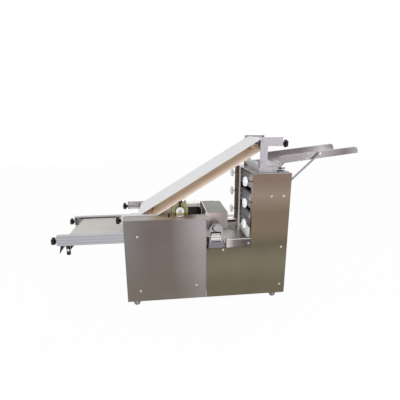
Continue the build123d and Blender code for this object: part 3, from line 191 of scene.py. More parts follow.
class SheeterSizes(PropertyGroup):
    """Sizes of the added pieces."""

    belt_thick: length("Belt thickness", 0.0025, "Thickness of both belts")
    outlet_turn: length("Outlet belt turn", 0.0253, "Inner radius of the outlet belt where it turns")
    return_turn: length("Return belt turn", 0.0343, "Inner radius of the return belt where it turns")
    run_steps: divisions("Run steps", 40, "Divisions along a belt's straight run")
    turn_steps: divisions("Turn steps", 24, "Divisions round a belt's turn")
    knob: length("Knob radius", 0.028, "Star knobs, middle to tip of a lobe")
    knob_lobe: length("Knob lobe radius", 0.009, "Rounding of a star knob's lobes")
    take_up: length("Take-up screw radius", 0.005, "Screws of the star knobs")
    hand_wheel: length("Hand wheel radius", 0.035, "Hand wheels of the gap screws")
    gap_screw: length("Gap screw radius", 0.004, "Screws of the hand wheels")
    castor: length("Castor radius", 0.025, "Castor and tower wheels")
    lagged: length("Lagged roller radius", 0.060, "Lagged roller over its rubber")
    panel_screw: length("Panel screw radius", 0.0075, "Heads of the screws in the side panels")
    bolt: length("Bolt radius", 0.0065, "Six-sided bolt heads, middle to flat")
    hem: length("Hem radius", 0.0022, "Rolled edges of the trough's walls")


# Shader building blocks


def link(tree, *pairs):
    """Join outputs to inputs, given in pairs."""
    for out, into in pairs:
        tree.links.new(out, into)


def fresh_group(name, ins, outs):
    """A shader node group with named sockets, and its input and output nodes."""
    group = bpy.data.node_groups.new(name, "ShaderNodeTree")
    for title, kind, default in ins:
        socket = group.interface.new_socket(title, in_out="INPUT", socket_type=kind)
        socket.default_value = default
    for title, kind in outs:
        group.interface.new_socket(title, in_out="OUTPUT", socket_type=kind)
    return group, group.nodes.new("NodeGroupInput"), group.nodes.new("NodeGroupOutput")


def ramp(tree, value, low, high, to_low=0.0, to_high=1.0):
    """A value mapped from one range to another and held at its ends."""
    node = tree.nodes.new("ShaderNodeMapRange")
    node.clamp = True
    node.inputs["From Min"].default_value = low
    node.inputs["From Max"].default_value = high
    node.inputs["To Min"].default_value = to_low
    node.inputs["To Max"].default_value = to_high
    tree.links.new(value, node.inputs["Value"])
    return node.outputs["Result"]


def calc(tree, kind, one, two=0.0):
    """One or two values worked into another; each may be a number or a socket."""
    node = tree.nodes.new("ShaderNodeMath")
    node.operation = kind
    for socket, item in zip(node.inputs, (one, two)):
        if isinstance(item, (int, float)):
            socket.default_value = item
        else:
            tree.links.new(item, socket)
    return node.outputs[0]


def mix(tree, factor, one, two, kind="MIX"):
    """Two colours mixed by a mask; each may be a colour or a socket."""
    node = tree.nodes.new("ShaderNodeMix")
    node.data_type = "RGBA"
    node.blend_type = kind
    sockets = (node.inputs[0], node.inputs[6], node.inputs[7])
    for socket, item in zip(sockets, (factor, one, two)):
        if isinstance(item, (int, float)):
            socket.default_value = item
        elif hasattr(item, "__len__"):
            socket.default_value = (*item[:3], 1)
        else:
            tree.links.new(item, socket)
    return node.outputs[2]


def band(tree, value, *stops):
    """A colour that changes with a value from 0 to 1, given as pairs of value and colour."""
    node = tree.nodes.new("ShaderNodeValToRGB")
    elements = node.color_ramp.elements
    while len(elements) < len(stops):
        elements.new(0.5)
    for element, (share, colour) in zip(elements, stops):
        element.position = share
        element.color = (*colour[:3], 1)
    tree.links.new(value, node.inputs["Fac"])
    return node.outputs["Color"]


def noise(tree, vector, scale, detail=4.0, rough=0.55):
    """Cloudy values from 0 to 1 over a place."""
    node = tree.nodes.new("ShaderNodeTexNoise")
    node.inputs["Scale"].default_value = scale
    node.inputs["Detail"].default_value = detail
    node.inputs["Roughness"].default_value = rough
    tree.links.new(vector, node.inputs["Vector"])
    return node.outputs["Fac"]


def object_place(tree):
    """Where a point is in the row frame, in metres."""
    return tree.nodes.new("ShaderNodeTexCoord").outputs["Object"]


def axis_value(tree, letter):
    """How far a point is along one axis, in metres."""
    parts = tree.nodes.new("ShaderNodeSeparateXYZ")
    tree.links.new(object_place(tree), parts.inputs[0])
    return parts.outputs[letter]


def along_x(tree, low, high):
    """How far a place is between two distances along the machine, 0 to 1."""
    return ramp(tree, axis_value(tree, "X"), spot(low, 0, 0).x, spot(high, 0, 0).x)


def above(tree, low, high):
    """How far a place is between two heights above the floor, 0 to 1."""
    return ramp(tree, axis_value(tree, "Z"), low, high)


def facing(tree, axis):
    """How far a face looks along an axis."""
    parts = tree.nodes.new("ShaderNodeSeparateXYZ")
    tree.links.new(tree.nodes.new("ShaderNodeNewGeometry").outputs["Normal"], parts.inputs[0])
    return parts.outputs[axis]


def steel_grain():
    """Fine brushed lines, and broad smudges left by wiping."""
    group, ins, outs = fresh_group(
        "Steel Grain",
        [("Stretch", "NodeSocketVector", (6, 300, 300)), ("Smudge Scale", "NodeSocketFloat", 5.0)],
        [("Grain", "NodeSocketFloat"), ("Smudge", "NodeSocketFloat")],
    )
    place = object_place(group)
    stretched = group.nodes.new("ShaderNodeVectorMath")
    stretched.operation = "MULTIPLY"
    link(group, (place, stretched.inputs[0]), (ins.outputs["Stretch"], stretched.inputs[1]))
    fine = noise(group, stretched.outputs[0], 1.0, 5.0, 0.6)
    broad = group.nodes.new("ShaderNodeTexNoise")
    broad.inputs["Detail"].default_value = 3.0
    link(group, (place, broad.inputs["Vector"]), (ins.outputs["Smudge Scale"], broad.inputs["Scale"]))
    link(group, (ramp(group, fine, 0.3, 0.7), outs.inputs["Grain"]),
         (ramp(group, broad.outputs["Fac"], 0.35, 0.68), outs.inputs["Smudge"]))
    return group


def flour_dust():
    """Patchy flour that settles on faces that look up."""
    group, ins, outs = fresh_group(
        "Flour Dust", [("Amount", "NodeSocketFloat", 0.2)], [("Mask", "NodeSocketFloat")])
    up = ramp(group, facing(group, "Z"), 0.45, 0.95)
    patch = ramp(group, noise(group, object_place(group), 14.0, 6.0, 0.65), 0.42, 0.72)
    link(group, (calc(group, "MULTIPLY", calc(group, "MULTIPLY", up, patch), ins.outputs["Amount"]),
                 outs.inputs["Mask"]))
    return group


def moulded_skin():
    """Fine spark texture of moulded plastic and rubber."""
    group, ins, outs = fresh_group(
        "Moulded Skin", [("Scale", "NodeSocketFloat", 900.0)],
        [("Height", "NodeSocketFloat"), ("Rub", "NodeSocketFloat")])
    place = object_place(group)
    fine = group.nodes.new("ShaderNodeTexNoise")
    fine.inputs["Detail"].default_value = 2.0
    link(group, (place, fine.inputs["Vector"]), (ins.outputs["Scale"], fine.inputs["Scale"]),
         (fine.outputs["Fac"], outs.inputs["Height"]),
         (ramp(group, noise(group, place, 35.0, 5.0, 0.6), 0.4, 0.7), outs.inputs["Rub"]))
    return group


GROUPS = {}


def shared(name):
    """The shared node group of that name, built the first time it is asked for."""
    makers = {"Steel Grain": steel_grain, "Flour Dust": flour_dust, "Moulded Skin": moulded_skin}
    if name not in GROUPS:
        GROUPS[name] = makers[name]()
    return GROUPS[name]


def place_group(tree, name, **values):
    """A shared group placed in a material, with its own values; an underscore stands for a space."""
    node = tree.nodes.new("ShaderNodeGroup")
    node.node_tree = shared(name)
    for title, value in values.items():
        node.inputs[title.replace("_", " ")].default_value = value
    return node


def blank(name):
    """A material with an empty Principled shader."""
    material = bpy.data.materials.new(name)
    material.use_nodes = True
    return material, material.node_tree, material.node_tree.nodes["Principled BSDF"]


def bump(tree, shader, height, strength, distance):
    """Let a height tilt the shader's normal."""
    node = tree.nodes.new("ShaderNodeBump")
    node.inputs["Strength"].default_value = strength
    node.inputs["Distance"].default_value = distance
    link(tree, (height, node.inputs["Height"]), (node.outputs[0], shader.inputs["Normal"]))


def painted(tree, colour):
    """A colour as it is, or what a function of the tree makes of it."""
    return colour(tree) if callable(colour) else colour


def steel(name, colour, rough, stretch, dust=0.0, grain=0.10, polish=None, painted_light=None, glow=0.0):
    """Stainless steel: brushed lines, wiping smudges and, where it lies open, a little flour.
    polish gives a mask of smoother places, and the mask after it one of places that are dulled
    and made pale as painted light, where glow is an emission, painted light that makes up for light that
    doesn't reach them."""
    material, tree, shader = blank(name)
    shader.inputs["Metallic"].default_value = 1.0
    lines = place_group(tree, "Steel Grain", Stretch=stretch, Smudge_Scale=4.5)
    base = painted(tree, colour)
    darker = mix(tree, 1.0, base, (1 - grain, 1 - grain, 1 - grain * 0.9), "MULTIPLY")
    lined = mix(tree, lines.outputs["Grain"], darker, base)
    wiped = mix(tree, calc(tree, "MULTIPLY", lines.outputs["Smudge"], 0.22), lined,
                mix(tree, 1.0, lined, (0.80, 0.79, 0.78), "MULTIPLY"))
    roughness = ramp(tree, lines.outputs["Smudge"], 0.0, 1.0, rough * 0.85, rough * 1.2)
    if polish:
        roughness = calc(tree, "MULTIPLY", roughness, ramp(tree, polish(tree), 0.0, 1.0, 1.0, 0.45))
    if dust:
        powder = place_group(tree, "Flour Dust", Amount=dust)
        mask = powder.outputs["Mask"]
        wiped = mix(tree, mask, wiped, linear(232, 228, 220))
        roughness = calc(tree, "ADD", roughness, calc(tree, "MULTIPLY", mask, 0.4))
    # Painted light: the masked places are dulled, and with glow they are lit by emission
    if painted_light:
        painted_mask = painted_light(tree)
        tree.links.new(ramp(tree, painted_mask, 0.0, 1.0, 1.0, 0.2), shader.inputs["Metallic"])
        if glow:
            shader.inputs["Emission Strength"].default_value = glow
            tree.links.new(mix(tree, painted_mask, (0, 0, 0), wiped), shader.inputs["Emission Color"])
    link(tree, (wiped, shader.inputs["Base Color"]), (roughness, shader.inputs["Roughness"]))
    bump(tree, shader, lines.outputs["Grain"], 0.06, 0.0002)
    return material


def moulded(name, colour, rough, scale, rub, height, coat=0.0, gloss=0.5, tone=None, glow=0.0):
    """Moulded plastic, paint or rubber with a fine skin and places rubbed paler. tone changes the
    rubbed colour over the tree, and glow is an emission, painted light that lifts a pale colour."""
    material, tree, shader = blank(name)
    shader.inputs["Coat Weight"].default_value = coat
    shader.inputs["Specular IOR Level"].default_value = gloss
    skin = place_group(tree, "Moulded Skin", Scale=scale)
    pale = tuple(min(1.0, c * 1.25 + 0.02) for c in colour)
    worn = mix(tree, calc(tree, "MULTIPLY", skin.outputs["Rub"], rub), colour, pale)
    if tone:
        worn = tone(tree, worn)
    if glow:
        tree.links.new(worn, shader.inputs["Emission Color"])
        shader.inputs["Emission Strength"].default_value = glow
    roughness = ramp(tree, skin.outputs["Rub"], 0.0, 1.0, rough * 0.85, rough * 1.15)
    link(tree, (worn, shader.inputs["Base Color"]), (roughness, shader.inputs["Roughness"]))
    bump(tree, shader, skin.outputs["Height"], height, 0.0004)
    return material


def belt_cloth(name, colour, weave, stain, glow):
    """Coated belt: a fine weave under the coat, and faint flour and oil marks along the run.
    glow is an emission, painted light that lifts its colour."""
    material, tree, shader = blank(name)
    place = object_place(tree)
    waves = []
    for direction, scale in (("Y", 700.0), ("X", 620.0)):
        wave = tree.nodes.new("ShaderNodeTexWave")
        wave.bands_direction = direction
        wave.inputs["Scale"].default_value = scale
        wave.inputs["Distortion"].default_value = 0.6
        tree.links.new(place, wave.inputs["Vector"])
        waves.append(wave.outputs["Fac"])
    cloth = calc(tree, "ADD", *waves)
    marks = ramp(tree, noise(tree, place, 9.0, 6.0, 0.62), 0.45, 0.75)
    clean = painted(tree, colour)
    mixed = mix(tree, calc(tree, "MULTIPLY", marks, stain), clean,
                mix(tree, 1.0, clean, (0.90, 0.87, 0.82), "MULTIPLY"))
    woven = mix(tree, ramp(tree, cloth, 0.2, 1.6, 0.0, weave), mixed,
                mix(tree, 1.0, mixed, (0.82, 0.80, 0.78), "MULTIPLY"))
    link(tree, (woven, shader.inputs["Base Color"]),
         (ramp(tree, marks, 0.0, 1.0, 0.50, 0.68), shader.inputs["Roughness"]))
    tree.links.new(woven, shader.inputs["Emission Color"])
    shader.inputs["Emission Strength"].default_value = glow
    bump(tree, shader, cloth, 0.08 + weave * 0.3, 0.0003)
    return material


# Tones of the large sheets, mostly painted reflections, shade and light


def cabinet_tone(hues):
    """Painted reflections and shade: darkest in the middle of the cabinet panels, palest at the seam, with a
    bright lip on top, and painted light on the far inside.
    """
    def build(tree):
        x = along_x(tree, 0, 592)
        high = band(tree, x, (0.0, hues.cabinet_left), (0.28, hues.cabinet_middle),
                    (0.56, hues.cabinet_middle), (0.92, hues.cabinet_seam))
        low = band(tree, x, (0.0, hues.cabinet_foot), (0.62, hues.cabinet_foot),
                   (0.95, hues.cabinet_foot_seam))
        # Painted reflections in the lip, and a painted glint next to the seam
        lip = band(tree, x, (0.27, hues.lip), (0.40, hues.lip_shade), (0.63, hues.lip_shade),
                   (0.68, hues.lip_mirror), (0.74, hues.lip_shade), (0.80, hues.lip_shade),
                   (0.89, hues.lip_glint))
        face = mix(tree, above(tree, 0.10, 0.56), low, high)
        whole = mix(tree, above(tree, 0.6835, 0.6845), face, lip)
        # Painted light: the far inside is pale, and white where it glows at the corner and the lip
        inside = mix(tree, far_painted_light(tree), tuple(hues.inside), PAINTED_WHITE)
        return mix(tree, far_inside(tree), whole, inside)
    return build


def lip_polish(tree):
    """The lip mirrors what stands behind it, except next to the seam."""
    return calc(tree, "SUBTRACT", above(tree, 0.684, 0.6855), along_x(tree, 490, 540))


def far_inside(tree):
    """Faces on the far side that look back to the near one."""
    return calc(tree, "MULTIPLY", ramp(tree, facing(tree, "Y"), -0.2, -0.4),
                ramp(tree, axis_value(tree, "Y"), 0.200, 0.205))


def far_painted_light(tree):
    """Painted light: the far inside next to the outlet belt and at the lip, painted white and made to glow.
    """
    outlet = calc(tree, "SUBTRACT", 1.0, along_x(tree, 58, 64))
    lip = calc(tree, "SUBTRACT", above(tree, 0.662, 0.666), along_x(tree, 596, 600))
    return calc(tree, "MULTIPLY", far_inside(tree), calc(tree, "MAXIMUM", outlet, lip))


def hopper_painted_light(tree):
    """The hopper's slope seen from the cutter, dulled and made to glow as painted light."""
    return ramp(tree, facing(tree, "X"), -0.6, -0.75)


def roll_painted_strip(tree):
    """Painted light: a bright strip on the side plates, next to the rolls."""
    return calc(tree, "SUBTRACT", along_x(tree, 937, 939), along_x(tree, 951, 954))


def plate_painted_light(tree):
    """Where the side plates are dulled and made to glow as painted light."""
    lit_strip = calc(tree, "MULTIPLY", far_inside(tree), roll_painted_strip(tree))
    return calc(tree, "MAXIMUM", far_painted_light(tree), lit_strip)


def plate_tone(tree):
    """Painted shade in the cabinet and behind the rolls, brown at the tower's edge, and painted light on the
    strip next to the rolls and on the top.
    """
    edge = calc(tree, "SUBTRACT", along_x(tree, 596, 600), along_x(tree, 931, 934))
    bare = mix(tree, edge, linear(108, 104, 104), linear(150, 132, 116))
    bare = mix(tree, roll_painted_strip(tree), bare, linear(176, 174, 174))
    top = calc(tree, "SUBTRACT", above(tree, 0.6725, 0.6735), along_x(tree, 596, 600))
    return mix(tree, calc(tree, "MAXIMUM", top, far_painted_light(tree)), bare, PAINTED_WHITE)


def roll_tone(hues):
    """Rolls, with a painted highlight towards their near ends."""
    def build(tree):
        near_highlight = ramp(tree, axis_value(tree, "Y"), -0.07, -0.105)
        return mix(tree, near_highlight, tuple(hues.roll), tuple(hues.roll_painted_highlight))
    return build


def tower_tone(hues):
    """Bands of painted reflection and shade across the tower panels, from the foot up."""
    def build(tree):
        return band(tree, above(tree, 0.1, 1.0), (0.06, hues.tower_foot), (0.20, hues.tower_low),
                    (0.28, hues.tower_low), (0.40, hues.tower_step), (0.52, hues.tower_middle),
                    (0.68, hues.tower_middle), (0.82, hues.tower_glow), (0.95, hues.tower_high))
    return build


def cabinet_steel(hues):
    """Finish of the cabinet panels and of the strips folded below them, with painted reflections and shade,
    and painted light that glows in the far corner.
    """
    return steel("Cabinet Panel Steel", cabinet_tone(hues), 0.36, UPRIGHT, grain=0.05, polish=lip_polish,
                 painted_light=far_painted_light, glow=0.7)


def tower_steel(hues):
    """Finish of the tower panels and of the strips folded below them, with bands of painted reflection and
    shade.
    """
    return steel("Tower Panel Steel", tower_tone(hues), 0.36, UPRIGHT, grain=0.05)


def blade_tone(tree, black):
    """Blades black, but the outlet belt's one pale across the belt."""
    outlet = calc(tree, "SUBTRACT", 1.0, along_x(tree, -250, -240))
    middle = ramp(tree, calc(tree, "ABSOLUTE", axis_value(tree, "Y")), 0.186, 0.184)
    return mix(tree, calc(tree, "MULTIPLY", outlet, middle), black, linear(226, 224, 220))


def rail_tone(hues):
    """Two lines of painted groove shade along the outlet rails, with painted highlight between them."""
    def build(tree):
        spacing = 0.0225
        wave = calc(tree, "SINE", calc(tree, "MULTIPLY", axis_value(tree, "Z"), 2 * pi / spacing))
        return mix(tree, ramp(tree, wave, -0.6, 0.8), tuple(c * 0.90 for c in hues.rail),
                   tuple(min(1, c * 1.06) for c in hues.rail))
    return build


def deck_place(tree):
    """The deck between the cabinet panels."""
    return calc(tree, "SUBTRACT", above(tree, 0.672, 0.6735), along_x(tree, 600, 700))


def end_tone(tree):
    """Grey ends, and a deck painted with the reflection of the belt above it."""
    return mix(tree, ramp(tree, deck_place(tree), 0.0, 1.0), linear(150, 147, 146), linear(206, 182, 148))


def tray_tone(hues):
    """Tray painted paler towards the tower as painted light in its shade, between aprons with painted shade
    that darkens towards the tower, and a white ramp at the tower.
    """
    def build(tree):
        x = along_x(tree, 742, 926)
        apron = band(tree, x, (0.1, hues.apron_left), (0.32, hues.apron_middle), (0.75, hues.apron_right))
        outer = ramp(tree, calc(tree, "ABSOLUTE", axis_value(tree, "Y")), 0.2490, 0.2495)
        floor = band(tree, x, (0.35, hues.tray_left), (0.75, hues.tray_right))
        floor = mix(tree, along_x(tree, 926, 928), floor, linear(252, 252, 250))
        return mix(tree, outer, floor, apron)
    return build


def hood_tone(hues):
    """Painted reflection and shade: sides that darken towards the tray, and a grey top."""
    def build(tree):
        sides = band(tree, along_x(tree, 608, 764), (0.2, hues.hood_left), (0.8, hues.hood_right))
        return mix(tree, above(tree, 0.700, 0.7006), sides, tuple(hues.hood_top))
    return build


def trough_tone(hues):
    """Walls with painted reflections in dull and bright patches, a pale floor and grey brace rods."""
    def build(tree):
        x, y = along_x(tree, 1146, 1752), axis_value(tree, "Y")
        inside = band(tree, x, (0.52, hues.trough_inside), (0.83, hues.trough_glint),
                      (0.95, hues.trough_inside))
        outside = band(tree, x, (0.25, hues.trough_outside), (0.44, hues.trough_bright),
                       (0.60, hues.trough_outside), (0.83, hues.trough_end), (1.0, hues.trough_outside))
        far = mix(tree, ramp(tree, y, 0.1665, 0.1675), tuple(hues.trough_floor), inside)
        walls = mix(tree, ramp(tree, y, -0.1675, -0.1685), far, outside)
        braces = ramp(tree, calc(tree, "ABSOLUTE", y), 0.171, 0.173)
        return mix(tree, braces, walls, linear(154, 151, 153))
    return build


def housing_tone(hues):
    """White bearings; the lagged roller's blocks are painted like its rubber lower down."""
    def build(tree, white):
        block = calc(tree, "SUBTRACT", above(tree, 0.600, 0.604), above(tree, 0.718, 0.720))
        cabinet = calc(tree, "SUBTRACT", block, along_x(tree, 560, 600))
        return mix(tree, ramp(tree, cabinet, 0.0, 1.0), white, tuple(hues.lagging))
    return build


def stand_tone(hues):
    """Cutter stands with darker feet, painted shade."""
    return lambda tree: mix(tree, above(tree, 0.488, 0.496), tuple(hues.stand_foot), tuple(hues.stand))


def belt_back_tone(hues):
    """Woven back of the belts, from the far edge to the near one, with painted shade at the far edge and
    painted light at the near one.
    """
    def build(tree):
        across = ramp(tree, axis_value(tree, "Y"), 0.19, -0.19)
        return band(tree, across, (0.35, hues.belt_far), (0.7, hues.belt_back), (0.98, hues.belt_near))
    return build


def dress(node, material):
    """Give a carried-over CAD node its finish."""
    mesh = NODES[node].data
    mesh.materials.clear()
    mesh.materials.append(material)


# Mesh building blocks

# Where fasteners sit, in millimetres from the machine's middle plane
PANEL_FACE = 252.5
APRON_FACE = 250.5
END_FLANGE = 240
BRACKET_FACE = 220
HANGER_FACE = 212
BRACE_FACE = 191.5
HOOD_FACE = 175
TROUGH_FACE = 170

# The control box's lid, in millimetres from the cabinet's left end
BOX_LID = 1270


def piece(name, work, body, slot, *materials):
    """Make a mesh of what has been drawn, give it its materials and let it ride on a CAD body."""
    bmesh.ops.recalc_face_normals(work, faces=work.faces)
    mesh = bpy.data.meshes.new(name)
    work.to_mesh(mesh)
    work.free()
    for material in materials:
        mesh.materials.append(material)
    mesh.shade_smooth()
    mesh.set_sharp_from_angle(angle=SHARP_ANGLE)
    obj = bpy.data.objects.new(name, mesh)
    bpy.context.scene.collection.objects.link(obj)
    if body:
        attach(obj, body)
    return obj


def join_rings(work, one, two, slot):
    """Faces between two rings of corners; a ring of one corner closes to a point."""
    for i in range(max(len(one), len(two))):
        j = i + 1
        corners = (one[i % len(one)], one[j % len(one)], two[j % len(two)], two[i % len(two)])
        work.faces.new(list(dict.fromkeys(corners))).material_index = slot


def turned(work, place, axis, profile, steps=32, slot=0, lobes=None, closed=False):
    """Turn pairs of distance and radius about an axis. A radius of 0 closes an end, lobes changes
    the radius with the angle, and closed joins the last pair to the first."""
    way = Vector(axis).normalized()
    side = Vector(X_AXIS if abs(way.z) > 0.9 else Z_AXIS)
    side = (side - way * side.dot(way)).normalized()
    up = way.cross(side)
    rings = []
    for distance, radius in profile:
        middle = place + way * distance
        if radius == 0:
            rings.append([work.verts.new(middle)])
            continue
        ring = []
        for i in range(steps):
            angle = 2 * pi * i / steps
            reach = radius * (lobes(angle, radius) if lobes else 1)
            ring.append(work.verts.new(middle + (side * cos(angle) + up * sin(angle)) * reach))
        rings.append(ring)
    for one, two in zip(rings, rings[1:]):
        join_rings(work, one, two, slot)
    if closed:
        join_rings(work, rings[-1], rings[0], slot)


def rod(work, place, axis, span, radius, steps=16, slot=0):
    """Plain round rod between two distances along an axis."""
    start, end = span
    turned(work, place, axis, [(start, 0), (start, radius), (end, radius), (end, 0)], steps, slot)


def scaled(profile, size):
    """A profile whose radii are given as shares of a size."""
    return [(distance, share * size) for distance, share in profile]


def pin(run, radius, tip, chamfer):
    """Profile of a round pin whose ends taper to a tip."""
    return [(0, 0), (0, tip), (chamfer, radius), (run - chamfer, radius), (run, tip), (run, 0)]


def bead(work, path, radius, steps=10, slot=0):
    """Round bead along a line of places that lies in an upright plane along the machine."""
    rings = []
    for i, here in enumerate(path):
        ahead = (path[min(i + 1, len(path) - 1)] - path[max(i - 1, 0)]).normalized()
        side = ahead.cross(Vector(Y_AXIS)).normalized()
        up = side.cross(ahead)
        angles = [2 * pi * k / steps for k in range(steps)]
        rings.append([work.verts.new(here + (side * cos(a) + up * sin(a)) * radius) for a in angles])
    for one, two in zip(rings, rings[1:]):
        join_rings(work, one, two, slot)
    for ring in (rings[0], rings[-1]):
        work.faces.new(ring).material_index = slot


def threads(start, end, radius, pitch=0.002):
    """Profile of a screw's thread between two distances, with chamfered ends."""
    count = max(2, round(abs(end - start) / pitch))
    core, run = radius * 0.84, end - start
    points = [(start, 0), (start, core)]
    for i in range(count):
        points += [(start + run * (i + 0.5) / count, radius), (start + run * (i + 1) / count, core)]
    return points + [(end, 0)]


def plate(work, x_span, z_span, y_span, corner, slot=0):
    """Flat plate with rounded corners that faces across the machine, in millimetres as in spot."""
    x0, x1, z0, z1 = x_span[0] + corner, x_span[1] - corner, z_span[0] + corner, z_span[1] - corner
    rings = []
    for y in y_span:
        ring = []
        for quarter, (x, z) in enumerate(((x1, z1), (x0, z1), (x0, z0), (x1, z0))):
            angles = [pi / 2 * (quarter + i / 4) for i in range(5)]
            ring += [work.verts.new(spot(x + corner * cos(a), y, z + corner * sin(a))) for a in angles]
        rings.append(ring)
    join_rings(work, *rings, slot)
    for ring in rings:
        work.faces.new(ring).material_index = slot


def socket_screw(work, place, axis, radius):
    """Low rounded screw head with a socket, slots 0 for the head and 1 for the socket."""
    head = [(-0.0004, 0), (-0.0004, 1), (0.0005, 1), (0.0011, 0.86), (0.0014, 0.62), (0.0014, 0.42)]
    socket = [(0.0014, 0.42), (0.0008, 0.38), (0.0008, 0)]
    for slot, profile in enumerate((head, socket)):
        turned(work, place, axis, scaled(profile, radius), 20, slot)


def hex_bolt(work, place, axis, radius):
    """Washer and six-sided head with a turned-down rim."""
    washer = [(-0.0004, 0), (-0.0004, 1.5), (0.0014, 1.5), (0.0018, 1.42), (0.0018, 0)]
    head = [(0.0016, 0), (0.0016, 1.12), (0.85 * radius, 1.12), (radius, 0.95), (radius, 0)]
    turned(work, place, axis, scaled(washer, radius), 24)
    turned(work, place, axis, scaled(head, radius), 6)


class SheeterPiece:
    """What the operators have in common."""

    bl_options = {"INTERNAL"}

    @property
    def colours(self):
        return bpy.context.scene.sheeter_colours

    @property
    def sizes(self):
        return bpy.context.scene.sheeter_sizes


# Pieces


class SHEETER_OT_finishes(SheeterPiece, Operator):
    """Give every carried-over CAD node its finish"""

    bl_idname = "sheeter.finishes"
    bl_label = "Finishes"

    def execute(self, context):
        hues = self.colours
        shaft = steel("Ground Shaft", linear(176, 176, 178), 0.22, CROSSWISE)
        block = steel("Machined Block", linear(150, 149, 150), 0.42, (220, 40, 220))
        roll = steel("Roll Steel", roll_tone(hues), 0.30, CROSSWISE, dust=0.10, grain=0.08)
        named = {
            "cabinet_panels": cabinet_steel(hues),
            "tower_panels": tower_steel(hues),
            # Painted reflection: the deck is painted with the belt's colour and dulled
            "end_panels": steel("End Panel Steel", end_tone, 0.3, UPRIGHT, painted_light=deck_place),
            # Painted shade and light on the side plates, with glow where they are painted pale
            "side_plates": steel("Machined Plate", plate_tone, 0.4, (40, 40, 260), dust=0.05,
                                 painted_light=plate_painted_light, glow=0.7),
            # Painted light: the rails' far inside faces are dulled to read paler
            "outlet_rails": steel("Rail Aluminium", rail_tone(hues), 0.38, (6, 300, 300), grain=0.05,
                                  painted_light=far_inside),
            "catch_tray": steel("Tray Sheet", tray_tone(hues), 0.32, LENGTHWISE, dust=0.12),
            "base_frame": steel("Frame Tube", linear(132, 131, 132), 0.42, (10, 240, 240)),
            "gear_motor": moulded("Motor Paint", MOTOR_GREY, 0.5, 500.0, 0.2, 0.1),
            "control_box": moulded("Box Paint", linear(190, 192, 194), 0.45, 600.0, 0.2, 0.12),
            "drive_chains": steel("Oiled Chain", linear(84, 82, 80), 0.45, (420, 60, 420), grain=0.4),
            "cutter_roll": steel("Cutter Metal", linear(186, 186, 184), 0.3, CROSSWISE),
            "cutter_stands": steel("Stand Steel", stand_tone(hues), 0.3, (260, 60, 8), grain=0.06),
            "roll_bearings": moulded("White Housing", linear(230, 230, 232), 0.35, 700.0, 0.15, 0.06,
                                     tone=housing_tone(hues)),
            "scraper_blades": moulded("Black Plastic", tuple(hues.knob), 0.45, 900.0, 0.3, 0.15, gloss=0.35,
                                      tone=blade_tone),
            # Painted light: the hopper's slope seen from the cutter is dulled and glows
            "infeed_hopper": steel("Hopper Sheet", linear(206, 204, 204), 0.3, LENGTHWISE, dust=0.15,
                                   painted_light=hopper_painted_light, glow=0.2),
            "hood": steel("Hood Sheet", hood_tone(hues), 0.42, LENGTHWISE, dust=0.06),
            "head_brackets": steel("Bracket Steel", tuple(hues.bracket), 0.36, LENGTHWISE, grain=0.06),
            # Painted light: the foot brackets are a paler copy of the bracket steel
            "foot_brackets": steel("Foot Bracket Steel", linear(222, 219, 225), 0.4, LENGTHWISE, grain=0.06),
            "slider_beds": moulded("Slider Board", linear(160, 134, 108), 0.5, 400.0, 0.3, 0.08),
            "infeed_trough": steel("Trough Sheet", trough_tone(hues), 0.3, LENGTHWISE, dust=0.06),
        }
        endings = {
            "_fixed_roll": roll, "_gap_roll": roll, "_gap_blocks": block, "_takeup_axle": block,
            "_swivel_fork": block,
        }
        for node in NODES:
            found = named.get(node)
            if found is None:
                found = next((finish for ending, finish in endings.items() if node.endswith(ending)), shaft)
            dress(node, found)
        return {"FINISHED"}


